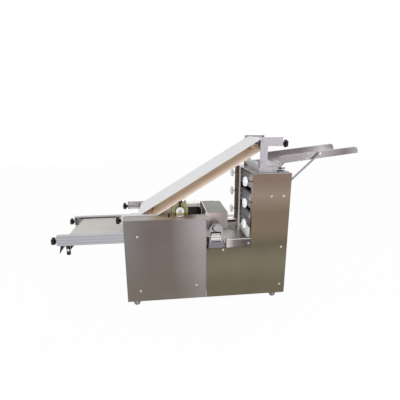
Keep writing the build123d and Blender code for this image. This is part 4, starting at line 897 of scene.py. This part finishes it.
class SHEETER_OT_belts(SheeterPiece, Operator):
    """Make both belts as thin loops with a coated face and a woven back"""

    bl_idname = "sheeter.belts"
    bl_label = "Belts"

    def execute(self, context):
        hues = self.colours
        # The glows are painted light: on the back it stands in for light through the belt, on the faces it
        # brightens them
        back = belt_cloth("Belt Back", belt_back_tone(hues), 0.4, 0.3, glow=0.36)
        face = belt_cloth("Return Belt Face", tuple(hues.belt_face), 0.10, 0.2, glow=0.12)
        flat = belt_cloth("Outlet Belt Face", tuple(hues.outlet_face), 0.12, 0.35, glow=0.06)
        turn = self.sizes.outlet_turn
        nose, drive = self.centres("outlet_belt", turn)
        obj = self.loop("outlet_belt_skin", "outlet_belt", nose, drive, turn, (0.0, 1.0), (flat, back))
        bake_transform(obj)
        turn = self.sizes.return_turn
        foot, head = self.centres("return_belt", turn)
        halves = (("low", "foot_takeup_axle", foot, head, (0.0, 0.5), (0.015, 0.055)),
                  ("high", "head_takeup_axle", head, foot, (0.5, 1.0), (0.12, 0.48)))
        for title, body, here, there, part, bend in halves:
            obj = self.loop(f"return_belt_{title}", "return_belt", foot, head, turn, part, (face, back))
            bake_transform(obj)
        return {"FINISHED"}

    def centres(self, node, turn):
        """Middles of the two rollers inside a belt, low end first."""
        low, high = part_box(node)
        outer = turn + self.sizes.belt_thick
        return Vector((low.x + outer, 0, low.z + outer)), Vector((high.x - outer, 0, high.z - outer))

    def loop(self, name, node, one, two, turn, part, materials):
        """The belt from one share of its length to another, round the rollers that lie in that part."""
        first, last = part
        runs, turns = self.sizes.run_steps, self.sizes.turn_steps
        shares = [first + (last - first) * i / runs for i in range(runs + 1)]
        over = [(share, pi / 2) for share in reversed(shares)]
        under = [(share, -pi / 2) for share in shares]
        low_turn = [(0.0, pi / 2 + pi * i / turns) for i in range(1, turns)] if first == 0.0 else []
        high_turn = [(1.0, -pi / 2 + pi * i / turns) for i in range(1, turns)] if last == 1.0 else []
        whole = bool(low_turn and high_turn)
        stations = over + low_turn + under + high_turn if low_turn else under + high_turn + over
        low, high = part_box(node)
        tilt = atan2(two.z - one.z, two.x - one.x)
        work = bmesh.new()
        rings = []
        for share, angle in stations:
            middle = one.lerp(two, share)
            rim = []
            for radius in (turn + self.sizes.belt_thick, turn):
                place = middle + Vector((cos(tilt + angle), 0, sin(tilt + angle))) * radius
                rim += [work.verts.new((place.x, y, place.z)) for y in (low.y, high.y)]
            rings.append(rim)
        for a, b in zip(rings, rings[1:] + rings[:1] if whole else rings[1:]):
            for p, q, slot in ((0, 1, 0), (3, 2, 1), (2, 0, 0), (1, 3, 0)):
                work.faces.new((a[p], a[q], b[q], b[p])).material_index = slot
        obj = piece(name, work, None, "belt_white", *materials)
        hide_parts(node)
        return obj


class SHEETER_OT_knobs(SheeterPiece, Operator):
    """Make the six star knobs with their take-up screws"""

    bl_idname = "sheeter.knobs"
    bl_label = "Star knobs"

    def execute(self, context):
        black = moulded("Knob Plastic", tuple(self.colours.knob), 0.45, 900.0, 0.2, 0.15, gloss=0.3)
        thread = steel("Screw Steel", linear(190, 188, 184), 0.3, SCREW_LINES)
        for place, towards in (("outlet", -1), ("foot", -1), ("head", 1)):
            for hand in ("near", "far"):
                self.knob(f"{place}_{hand}_knob", towards, black, thread)
        return {"FINISHED"}

    def knob(self, node, towards, black, thread):
        """A star head, its collar and cap, and the screw that shows at both ends."""
        low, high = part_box(node)
        place = pivot(f"{node}_turn")
        reach = high.x - place.x if towards < 0 else place.x - low.x
        size, lobe = self.sizes.knob, self.sizes.knob_lobe

        def star(angle, radius):
            """Five rounded lobes round a smaller disc."""
            apart = 2 * pi / 5
            off = (angle + towards * pi / 2 + apart / 2) % apart - apart / 2
            out = size - lobe
            if abs(off) > asin(lobe / out):
                return out / size
            return max(out, out * cos(off) + sqrt(lobe ** 2 - (out * sin(off)) ** 2)) / size

        head = [(0.0150, 0), (0.0150, 0.84), (0.0162, 0.95), (0.0185, 1.0), (0.0330, 1.0), (0.0355, 0.95),
                (0.0368, 0.84), (0.0370, 0.66), (0.0360, 0.54), (0.0360, 0)]
        collar = [(0.0012, 0), (0.0012, 0.0118), (0.0024, 0.0130), (0.0138, 0.0130), (0.0152, 0.0122),
                  (0.0152, 0)]
        cap = [(0.0355, 0), (0.0355, 0.0100), (0.0372, 0.0100), (0.0380, 0.0090), (0.0380, 0)]
        axis = (towards, 0, 0)
        work = bmesh.new()
        turned(work, place, axis, scaled(head, size), 80, 0, star)
        for profile in (collar, cap):
            turned(work, place, axis, profile)
        for start, end in ((0.0376, 0.0430), (-reach, 0.0014)):
            turned(work, place, axis, threads(start, end, self.sizes.take_up), 20, 1)
        obj = piece(f"{node}_star", work, node, "black_plastic", black, thread)
        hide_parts(node)


class SHEETER_OT_hand_wheels(SheeterPiece, Operator):
    """Make the six hand wheels with their gap screws"""

    bl_idname = "sheeter.hand_wheels"
    bl_label = "Hand wheels"

    def execute(self, context):
        # Painted light: the enamel glows to brighten the wheels in the belt's shade
        enamel = moulded("Wheel Enamel", tuple(self.colours.wheel), 0.3, 700.0, 0.1, 0.03, glow=0.22)
        brass = steel("Screw Brass", tuple(self.colours.brass), 0.32, SCREW_LINES)
        size = self.sizes.hand_wheel
        rim = [(0, 0), (0, 0.26), (0.001, 0.32), (0.0030, 0.35), (0.0036, 0.66), (0.0012, 0.74), (0, 0.82),
               (0.0006, 0.93), (0.0032, 0.99), (0.0148, 0.99), (0.0174, 0.93), (0.0180, 0.82),
               (0.0166, 0.74), (0.0146, 0.68), (0.0146, 0.36), (0.0252, 0.34), (0.0260, 0.31), (0.0260, 0)]
        hollows, depth = 12, 0.07

        def grips(angle, radius):
            """Finger hollows round the rim."""
            return 1 - depth * max(0, cos(hollows * angle)) ** 2 if radius > 0.85 * size else 1

        for level in ("upper", "middle", "lower"):
            for hand in ("near", "far"):
                node = f"{level}_{hand}_hand_wheel"
                low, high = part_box(node)
                place = pivot(f"{node}_turn")
                place.x = low.x
                work = bmesh.new()
                screw = threads(0.0255, high.x - low.x, self.sizes.gap_screw)
                turned(work, place, X_AXIS, scaled(rim, size), 96, 0, grips)
                turned(work, place, X_AXIS, screw, 20, 1)
                obj = piece(f"{node}_turned", work, node, "wheel_light", enamel, brass)
                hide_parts(node)
        return {"FINISHED"}


class SHEETER_OT_castors(SheeterPiece, Operator):
    """Make the castor wheels and the pair of wheels below the tower"""

    bl_idname = "sheeter.castors"
    bl_label = "Castors"

    def execute(self, context):
        tread = moulded("Castor Rubber", tuple(self.colours.tread), 0.6, 500.0, 0.4, 0.3)
        hub = moulded("Castor Hub", tuple(self.colours.hub), 0.4, 700.0, 0.2, 0.08)
        axle = steel("Axle Steel", linear(190, 190, 190), 0.26, CROSSWISE)
        for hand in ("near", "far"):
            node = f"{hand}_castor_wheel"
            self.wheels(node, [pivot(f"{hand}_castor_roll")], (tread, hub, axle))
        middle = pivot("tower_wheels_roll")
        across = pivot("far_castor_roll").y
        places = [middle + Vector((0, side * across, 0)) for side in SIDES]
        self.wheels("tower_wheel_pair", places, (tread, hub, axle))
        return {"FINISHED"}

    def wheels(self, node, places, materials):
        """Rubber treads on discs, and the axle through them."""
        size = self.sizes.castor
        rubber = [(-0.0098, 0.66), (-0.0098, 0.86), (-0.0080, 0.96), (-0.0040, 0.998), (0.0040, 0.998),
                  (0.0080, 0.96), (0.0098, 0.86), (0.0098, 0.66)]
        disc = [(-0.0102, 0), (-0.0102, 0.30), (-0.0080, 0.34), (-0.0070, 0.60), (-0.0086, 0.665),
                (0.0086, 0.665), (0.0070, 0.60), (0.0080, 0.34), (0.0102, 0.30), (0.0102, 0)]
        low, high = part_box(node)
        work = bmesh.new()
        for place in places:
            turned(work, place, Y_AXIS, scaled(rubber, size), 48, 0, closed=True)
            turned(work, place, Y_AXIS, scaled(disc, size), 32, 1)
        start = Vector((places[0].x, low.y, places[0].z))
        turned(work, start, Y_AXIS, pin(high.y - low.y, 0.005, 0.0042, 0.0008), 24, 2)
        obj = piece(f"{node}_rubber", work, node, "castor_tread", *materials)
        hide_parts(node)


class SHEETER_OT_lagged_roller(SheeterPiece, Operator):
    """Make the lagged roller with its grooved rubber, its end discs and its shaft"""

    bl_idname = "sheeter.lagged_roller"
    bl_label = "Lagged roller"

    def execute(self, context):
        rubber = moulded("Lagging Rubber", tuple(self.colours.lagging), 0.55, 300.0, 0.3, 0.3)
        steel_end = steel("Roller End", linear(150, 146, 112), 0.36, (200, 40, 200))
        shaft = steel("Roller Shaft", linear(190, 190, 190), 0.24, CROSSWISE)
        size, place = self.sizes.lagged, pivot("lagged_roller_spin")
        end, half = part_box("lagged_roller")[1].y, 0.186
        grooves, depth = 30, 0.0014
        floor = size - depth
        lagging = [(-half, 0.86 * size), (-half, 0.97 * size), (-half + 0.0015, size)]
        for i in range(1, grooves):
            y = -half + 2 * half * i / grooves
            lagging += [(y - depth, size), (y - depth / 2, floor), (y + depth / 2, floor), (y + depth, size)]
        lagging += [(half - 0.0015, size), (half, 0.97 * size), (half, 0.86 * size)]
        disc = [(half - 0.004, 0.87), (half - 0.001, 0.86), (half - 0.001, 0.62), (half - 0.005, 0.58),
                (half - 0.005, 0.40), (half, 0.36), (half, 0)]
        work = bmesh.new()
        turned(work, place, Y_AXIS, lagging, 64, 0, closed=True)
        for side in SIDES:
            turned(work, place, (0, side, 0), scaled(disc, size), 48, 1)
        turned(work, place + Vector((0, -end, 0)), Y_AXIS, pin(2 * end, 0.0125, 0.0108, 0.0016), 32, 2)
        obj = piece("lagged_roller_rubber", work, "lagged_roller", "lagging",
                    rubber, steel_end, shaft)
        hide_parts("lagged_roller")
        return {"FINISHED"}


class SHEETER_OT_fasteners(SheeterPiece, Operator):
    """Make the screws, bolts and clamp levers, and the edges of the side panels"""

    bl_idname = "sheeter.fasteners"
    bl_label = "Fasteners"

    def execute(self, context):
        bright = steel("Bright Zinc", linear(236, 234, 230), 0.24, EVEN, grain=0.05)
        dark = steel("Socket Shade", linear(70, 66, 62), 0.5, EVEN)
        black = moulded("Lever Plastic", tuple(self.colours.knob), 0.4, 900.0, 0.3, 0.12)
        self.panel_screws(bright, dark)
        self.bolts(bright)
        self.bracket_bolts()
        self.hood_screws(bright, dark)
        self.tower_edges(bright)
        self.panel_hems()
        self.levers(black, bright)
        return {"FINISHED"}

    def panel_screws(self, bright, dark):
        """On the side panels, in rows on the end flanges, and on the control box."""
        sides = [(94, 562), (98, 132), (518, 155), (718, 432), (1166, 435), (1172, 122), (1069, 832),
                 (1161, 831)]
        ends = ((0, -1, (120, 300, 470)), (1212, 1, (120, 330, 540, 750, 950)))
        radius = self.sizes.panel_screw
        work = bmesh.new()
        for hand in SIDES:
            for x, z in sides:
                socket_screw(work, spot(x, hand * PANEL_FACE, z), (0, hand, 0), radius)
            for x, way, heights in ends:
                for z in heights:
                    socket_screw(work, spot(x, hand * END_FLANGE, z), (way, 0, 0), 0.7 * radius)
        for y in (-50, 50):
            for z in (708, 862):
                socket_screw(work, spot(BOX_LID, y, z), X_AXIS, 0.55 * radius)
        piece("panel_screws", work, "machine", "shaft_steel", bright, dark)

    def bolts(self, bright):
        """Six-sided heads on the braces and scraper hangers, and low screws in the trough's walls."""
        size = self.sizes.bolt
        heads = ((1441.6, BRACE_FACE, 1131), (1224, BRACE_FACE, 923), (-400, HANGER_FACE, 471))
        work = bmesh.new()
        for hand in SIDES:
            for x, y, z in heads:
                hex_bolt(work, spot(x, hand * y, z), (0, hand, 0), size)
            for x, z in ((1294, 1081), (1359, 1132), (1357, 1090)):
                socket_screw(work, spot(x, hand * TROUGH_FACE, z), (0, hand, 0), 0.6 * size)
        piece("bolts", work, "machine", "shaft_steel", bright, bright)

    def bracket_bolts(self):
        """Six-sided heads on the head brackets, and a low screw in each apron."""
        size = self.sizes.bolt
        dull = steel("Bracket Bolts", tuple(self.colours.bracket), 0.36, EVEN)
        work = bmesh.new()
        for hand in SIDES:
            for x, z in ((1003, 1022), (1088, 1022), (993, 1228), (993, 1080)):
                hex_bolt(work, spot(x, hand * BRACKET_FACE, z), (0, hand, 0), size)
            socket_screw(work, spot(911, hand * APRON_FACE, 476), (0, hand, 0), 1.3 * size)
        piece("bracket_bolts", work, "machine", "shaft_steel", dull, dull)

    def hood_screws(self, bright, dark):
        """Two low screws in each side of the hood."""
        radius = 0.6 * self.sizes.panel_screw
        work = bmesh.new()
        for hand in SIDES:
            for x in (620, 753):
                socket_screw(work, spot(x, hand * HOOD_FACE, 690), (0, hand, 0), radius)
        piece("hood_screws", work, "hood", "shaft_steel", bright, dark)

    def tower_edges(self, bright):
        """Rolled top edges of the tower panels, and a guard strip at the far one's edge."""
        brown = steel("Guard Strip", linear(166, 144, 126), 0.45, UPRIGHT, grain=0.05)
        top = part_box("tower_panels")[1].z * 1000
        edge, run = 0.0028, spot(1210, 0, 0).x - spot(930, 0, 0).x
        work = bmesh.new()
        for hand in SIDES:
            rod(work, spot(930, hand * 249.6, top - 1), X_AXIS, (0, run), edge)
        plate(work, (908, 929), (516, 993), (234, 238), 5, 1)
        piece("tower_edges", work, "machine", "stainless_panel", bright, brown)

    def panel_hems(self):
        """Folded strips along the bottom of the side panels."""
        fold, inner, outer = 8, 250, 252.4
        work = bmesh.new()
        for slot, node in enumerate(("cabinet_panels", "tower_panels")):
            low, high = ((corner - spot(0, 0, 0)) * 1000 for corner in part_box(node))
            for hand in SIDES:
                plate(work, (low.x, high.x), (low.z - fold, low.z), (hand * inner, hand * outer), 1, slot)
        piece("panel_hems", work, "machine", "stainless_panel", cabinet_steel(self.colours),
              tower_steel(self.colours))

    def levers(self, black, bright):
        """Two clamp levers at each head bracket's foot, on studs through it."""
        handle = [(-0.007, 0), (-0.007, 0.0050), (-0.003, 0.0064), (0.004, 0.0060), (0.024, 0.0040),
                  (0.034, 0.0052), (0.039, 0.0044), (0.041, 0)]
        work = bmesh.new()
        for hand in SIDES:
            for x, z in ((1126, 1034), (1118, 1015)):
                foot = spot(x, hand * BRACKET_FACE, z)
                rod(work, foot, (0, hand, 0), (-0.0004, 0.004), 0.0075, 20, 1)
                turned(work, foot + Vector((0, hand * 0.009, 0)), X_AXIS, handle, 20)
        piece("clamp_levers", work, "machine", "black_plastic", black, bright)


class SHEETER_OT_cutter_trim(SheeterPiece, Operator):
    """Make the hood's hems and flaps, the stand's shims, the tray's edges and the belt guides"""

    bl_idname = "sheeter.cutter_trim"
    bl_label = "Cutter trim"

    def execute(self, context):
        bright = steel("Trim Steel", linear(236, 235, 232), 0.30, EVEN, grain=0.05)
        rubber = moulded("Black Rubber", tuple(self.colours.rubber), 0.6, 500.0, 0.2, 0.2, gloss=0.3)
        self.hood_edges(bright, rubber)
        self.shims(bright, rubber)
        self.tray_edges(bright, rubber)
        self.belt_guides(bright, rubber)
        return {"FINISHED"}

    def hood_edges(self, bright, rubber):
        """Bright hem at the cabinet side, rubber along the back, and ears with rubber flaps below; the black
        rubber is painted shade.
        """
        hem, width = 0.0042, 0.348
        work = bmesh.new()
        rod(work, spot(608, -174, 699), Y_AXIS, (0, width), hem)
        rod(work, spot(614, 174, 700), X_AXIS, (0, 0.1), 0.003, slot=1)
        for hand in SIDES:
            plate(work, (573, 607), (580, 650), (hand * 178, hand * 181), 4, 1)
            plate(work, (594, 609), (636, 702), (hand * 170, hand * 174), 3)
        piece("hood_edges", work, "hood", "folded_sheet", bright, rubber)

    def shims(self, bright, rubber):
        """Bright shims on a dark gasket below the cutter's bearings, where the gasket's black between the
        shims is painted shade, and a seal behind each.
        """
        layers = (((630, 694), (554, 563)), ((625, 699), (536, 549)), ((626, 700), (515, 532)))
        seal = [(0, 0.0150), (0, 0.0330), (0.003, 0.0330), (0.003, 0.0150)]
        bearing = pivot("cutter_roll_spin")
        work = bmesh.new()
        for hand in SIDES:
            plate(work, (622, 699), (512, 576), (hand * 249.6, hand * 250.5), 5, 1)
            for x_span, z_span in layers:
                plate(work, x_span, z_span, (hand * 250.2, hand * 251.6), 3)
            bearing.y = hand * 0.2345
            turned(work, bearing, (0, hand, 0), seal, 32, 1, closed=True)
        piece("stand_shims", work, "machine", "shaft_steel", bright, rubber)

    def tray_edges(self, bright, rubber):
        """Hems along the aprons, a guide bar on two posts and a rubber strip at the tray's far side,
        and a bar inside the cabinet. The bars glow with painted light, and the black strip is painted shade."""
        # Painted light: the guide steel glows on its faces that look back to the near side
        grey = steel("Guide Steel", linear(186, 184, 178), 0.36, LENGTHWISE, grain=0.06, painted_light=far_inside,
                     glow=0.85)
        hem, run = 0.0026, 0.186
        work = bmesh.new()
        for hand in SIDES:
            rod(work, spot(741, hand * 249, 512), X_AXIS, (0, run), hem)
        plate(work, (770, 925), (531, 553), (236, 242), 6, 2)
        for x in (786, 898):
            plate(work, (x, x + 14), (512, 536), (237, 241), 2, 2)
        plate(work, (744, 925), (494, 511), (213.6, 215.2), 2, 1)
        plate(work, (440, 604), (648, 672), (203.5, 207), 3, 2)
        piece("tray_edges", work, "machine", "folded_sheet", bright, rubber, grey)

    def belt_guides(self, bright, rubber):
        """Arms that rise from the lagged roller's bearings to guide screws at the belt's edges, and a
        capped stud on the near side."""
        uphill = (0.9, 0, 0.42)
        screw = [(0.030, 0), (0.030, 0.0105), (0.043, 0.0105), (0.045, 0.0090), (0.045, 0.0050),
                 (0.056, 0.0050), (0.057, 0.0040), (0.057, 0)]
        stud = [(0, 0), (0, 0.003), (0.011, 0.003), (0.011, 0.008), (0.017, 0.008), (0.019, 0.006),
                (0.019, 0)]
        work = bmesh.new()
        for hand in SIDES:
            plate(work, (399, 412), (740, 803), (hand * 199, hand * 205), 5, 1)
            foot = spot(396, hand * 202, 793)
            rod(work, foot, uphill, (0, 0.030), 0.007, 20, 1)
            turned(work, foot, uphill, screw, 20)
        turned(work, spot(324, -216, 700), Z_AXIS, stud, 24, 1)
        piece("belt_guides", work, "machine", "shaft_steel", bright, rubber)


class SHEETER_OT_trough_hems(SheeterPiece, Operator):
    """Make the rolled edges of the infeed trough"""

    bl_idname = "sheeter.trough_hems"
    bl_label = "Trough hems"

    def execute(self, context):
        bright = steel("Hem Steel", linear(204, 202, 202), 0.28, LENGTHWISE, grain=0.06)
        inner, outer = spot(1146, 0, 1057), spot(1752, 0, 1131)
        along = (outer - inner).normalized()
        up = Vector((-along.z, 0, along.x))
        run = (outer - inner).length
        tall, corner, foot = 0.055, 0.030, 0.0183
        fall = tall - foot - corner
        line = [(share * (run - corner), tall - share * fall) for share in (i / 12 for i in range(12))]
        for angle in (pi / 2 * (1 - i / 8) for i in range(9)):
            line.append((run - corner + corner * cos(angle), foot + corner * sin(angle)))
        line.append((run, 0.003))
        work = bmesh.new()
        for hand in SIDES:
            wall = Vector((0, hand * 0.169, 0))
            bead(work, [inner + along * (d - 0.001) + up * r + wall for d, r in line], self.sizes.hem)
        piece("trough_hems", work, "machine", "folded_sheet", bright)
        return {"FINISHED"}


class SHEETER_OT_controls(SheeterPiece, Operator):
    """Make the stop button, its collar, the gland nut and the motor's cooling ribs"""

    bl_idname = "sheeter.controls"
    bl_label = "Controls and motor"

    def execute(self, context):
        hues = self.colours
        red = moulded("Stop Button", tuple(hues.stop), 0.25, 900.0, 0.1, 0.02, coat=0.5)
        yellow = moulded("Stop Collar", tuple(hues.collar), 0.4, 900.0, 0.1, 0.04)
        black = moulded("Gland Plastic", tuple(hues.knob), 0.4, 900.0, 0.2, 0.1)
        self.stop_button(red, yellow)
        self.gland(black)
        self.ribs()
        return {"FINISHED"}

    def stop_button(self, red, yellow):
        """A mushroom cap on its stem, and the disc on the box behind it."""
        low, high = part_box("stop_button")
        middle = (low + high) / 2
        cap = [(0, 0), (0, 0.0079), (0.0362, 0.0079), (0.0364, 0.0165), (0.0372, 0.0176), (0.0390, 0.0180),
               (0.0425, 0.0177), (0.0455, 0.0155), (0.0474, 0.0105), (0.0480, 0)]
        disc = [(-0.0004, 0.0095), (-0.0004, 0.0280), (0.0005, 0.0280), (0.0008, 0.0274), (0.0008, 0.0095)]
        work = bmesh.new()
        turned(work, Vector((low.x, middle.y, middle.z)), X_AXIS, cap, 40)
        obj = piece("stop_button_cap", work, "stop_button", "button_red", red)
        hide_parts("stop_button")
        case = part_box("control_box")[1].x
        work = bmesh.new()
        turned(work, Vector((case, middle.y, middle.z)), X_AXIS, disc, 40, closed=True)
        piece("stop_collar", work, "machine", None, yellow)

    def gland(self, black):
        """A six-sided nut below the control box, and the round cap under it."""
        bore = 0.0111
        nut = [(0, bore), (0, 0.0150), (0.0055, 0.0150), (0.0065, 0.0140), (0.0065, bore)]
        cap = [(0.0075, bore), (0.0075, 0.0130), (0.0130, 0.0130), (0.0155, 0.0118), (0.0155, bore)]
        work = bmesh.new()
        for profile, steps in ((nut, 6), (cap, 24)):
            turned(work, spot(1240, 0, 700), (0, 0, -1), profile, steps, closed=True)
        piece("gland_nut", work, "machine", "black_plastic", black)

    def ribs(self):
        """Cooling ribs along the motor."""
        paint = moulded("Rib Paint", MOTOR_GREY, 0.5, 500.0, 0.2, 0.1)
        count, depth = 36, 0.06
        start, end, inner, outer = 0.030, 0.200, 0.0615, 0.066
        profile = [(start, inner), (start, outer), (end, outer), (end, inner)]

        def furrows(angle, radius):
            """Square furrows between the ribs."""
            return 1 - depth * (cos(count * angle) < 0)

        work = bmesh.new()
        turned(work, spot(812, 0, 250), X_AXIS, profile, 6 * count, 0, furrows, closed=True)
        piece("motor_ribs", work, "machine", "motor_grey", paint)


class SHEETER_OT_stage(SheeterPiece, Operator):
    """Make the floor, the lamps, the world and the camera"""

    bl_idname = "sheeter.stage"
    bl_label = "Stage"

    def execute(self, context):
        self.floor()
        self.world()
        self.lamps()
        self.camera()
        context.scene.view_settings.view_transform = "Standard"
        return {"FINISHED"}

    def seen_white(self, tree):
        """1 for rays that come straight, by gloss or through glass from the camera."""
        path = tree.nodes.new("ShaderNodeLightPath")
        seen = calc(tree, "MAXIMUM", path.outputs["Is Camera Ray"], path.outputs["Is Glossy Ray"])
        return calc(tree, "MAXIMUM", seen, path.outputs["Is Transmission Ray"])

    def floor(self):
        """A wide pale floor that keeps a faint shadow."""
        reach, white_share = 9.0, 0.965
        corners = [(-reach, -reach, 0), (reach, -reach, 0), (reach, reach, 0), (-reach, reach, 0)]
        mesh = bpy.data.meshes.new("floor")
        mesh.from_pydata(corners, [], [(0, 1, 2, 3)])
        obj = bpy.data.objects.new("floor", mesh)
        bpy.context.scene.collection.objects.link(obj)
        material, tree, shader = blank("Pale Floor")
        shader.inputs["Base Color"].default_value = (0.92, 0.92, 0.92, 1)
        shader.inputs["Roughness"].default_value = 0.9
        glow = tree.nodes.new("ShaderNodeEmission")
        glow.inputs["Strength"].default_value = 1.0
        blend = tree.nodes.new("ShaderNodeMixShader")
        link(tree, (calc(tree, "MULTIPLY", self.seen_white(tree), white_share), blend.inputs[0]),
             (shader.outputs[0], blend.inputs[1]), (glow.outputs[0], blend.inputs[2]),
             (blend.outputs[0], tree.nodes["Material Output"].inputs["Surface"]))
        mesh.materials.append(material)

    def world(self):
        """An even soft light, white where it is seen."""
        world = bpy.data.worlds.new("Studio")
        world.use_nodes = True
        bpy.context.scene.world = world
        tree = world.node_tree
        light = tree.nodes["Background"]
        light.inputs["Color"].default_value = (1, 1, 1, 1)
        light.inputs["Strength"].default_value = 0.62
        white = tree.nodes.new("ShaderNodeBackground")
        white.inputs["Strength"].default_value = 1.0
        white.inputs["Color"].default_value = (1, 1, 1, 1)
        blend = tree.nodes.new("ShaderNodeMixShader")
        link(tree, (self.seen_white(tree), blend.inputs[0]), (light.outputs[0], blend.inputs[1]),
             (white.outputs[0], blend.inputs[2]),
             (blend.outputs[0], tree.nodes["World Output"].inputs["Surface"]))

    def lamps(self):
        """Two round soft lamps in front, turned to the machine's middle."""
        middle = Vector((0, 0, 0.65))
        places = (("key", (-1.8, -3.2, 3.4), 2.4, 55.0), ("fill", (2.6, -2.6, 2.2), 2.0, 22.0))
        for name, place, size, power in places:
            data = bpy.data.lights.new(name, "AREA")
            data.shape = "DISK"
            data.size = size
            data.energy = power
            lamp = bpy.data.objects.new(name, data)
            lamp.location = place
            lamp.rotation_euler = (middle - Vector(place)).to_track_quat("-Z", "Y").to_euler()
            bpy.context.scene.collection.objects.link(lamp)

    def camera(self):
        """The viewpoint, worked out from the corners of the panels, rails and brackets."""
        yaw, pitch, roll = radians(6.52), radians(14.17), radians(-0.13)
        focal_pixels, image_pixels, sensor = 301.0, 400, 36.0
        eye = spot(310.4, -2306.5, 1343.5)
        ahead = Vector((sin(yaw) * cos(pitch), cos(yaw) * cos(pitch), -sin(pitch)))
        right = Vector((cos(yaw), -sin(yaw), 0))
        up = right.cross(ahead)
        right, up = cos(roll) * right + sin(roll) * up, cos(roll) * up - sin(roll) * right
        data = bpy.data.cameras.new("camera")
        data.sensor_width = sensor
        data.lens = focal_pixels * sensor / image_pixels
        data.clip_start, data.clip_end = 0.05, 60
        obj = bpy.data.objects.new("camera", data)
        turn = Matrix((right, up, -ahead)).transposed()
        obj.matrix_world = Matrix.Translation(eye) @ turn.to_4x4()
        bpy.context.scene.collection.objects.link(obj)
        bpy.context.scene.camera = obj


class SHEETER_PT_pieces(Panel):
    """Lists the machine's pieces"""

    bl_label = "Dough Sheeter"
    bl_space_type = "VIEW_3D"
    bl_region_type = "UI"
    bl_category = "Sheeter"

    def draw(self, context):
        for operator in OPERATORS:
            self.layout.operator(operator.bl_idname)


OPERATORS = (SHEETER_OT_finishes, SHEETER_OT_belts, SHEETER_OT_knobs, SHEETER_OT_hand_wheels,
             SHEETER_OT_castors, SHEETER_OT_lagged_roller, SHEETER_OT_fasteners, SHEETER_OT_cutter_trim,
             SHEETER_OT_trough_hems, SHEETER_OT_controls, SHEETER_OT_stage)
CLASSES = (SheeterColours, SheeterSizes, *OPERATORS, SHEETER_PT_pieces)


def register():
    for item in CLASSES:
        bpy.utils.register_class(item)
    bpy.types.Scene.sheeter_colours = PointerProperty(type=SheeterColours)
    bpy.types.Scene.sheeter_sizes = PointerProperty(type=SheeterSizes)


def unregister():
    del bpy.types.Scene.sheeter_sizes
    del bpy.types.Scene.sheeter_colours
    for item in reversed(CLASSES):
        bpy.utils.unregister_class(item)


def main():
    register()
    for operator in OPERATORS:
        group, name = operator.bl_idname.split(".")
        getattr(getattr(bpy.ops, group), name)()


if __name__ == "__main__":
    main()
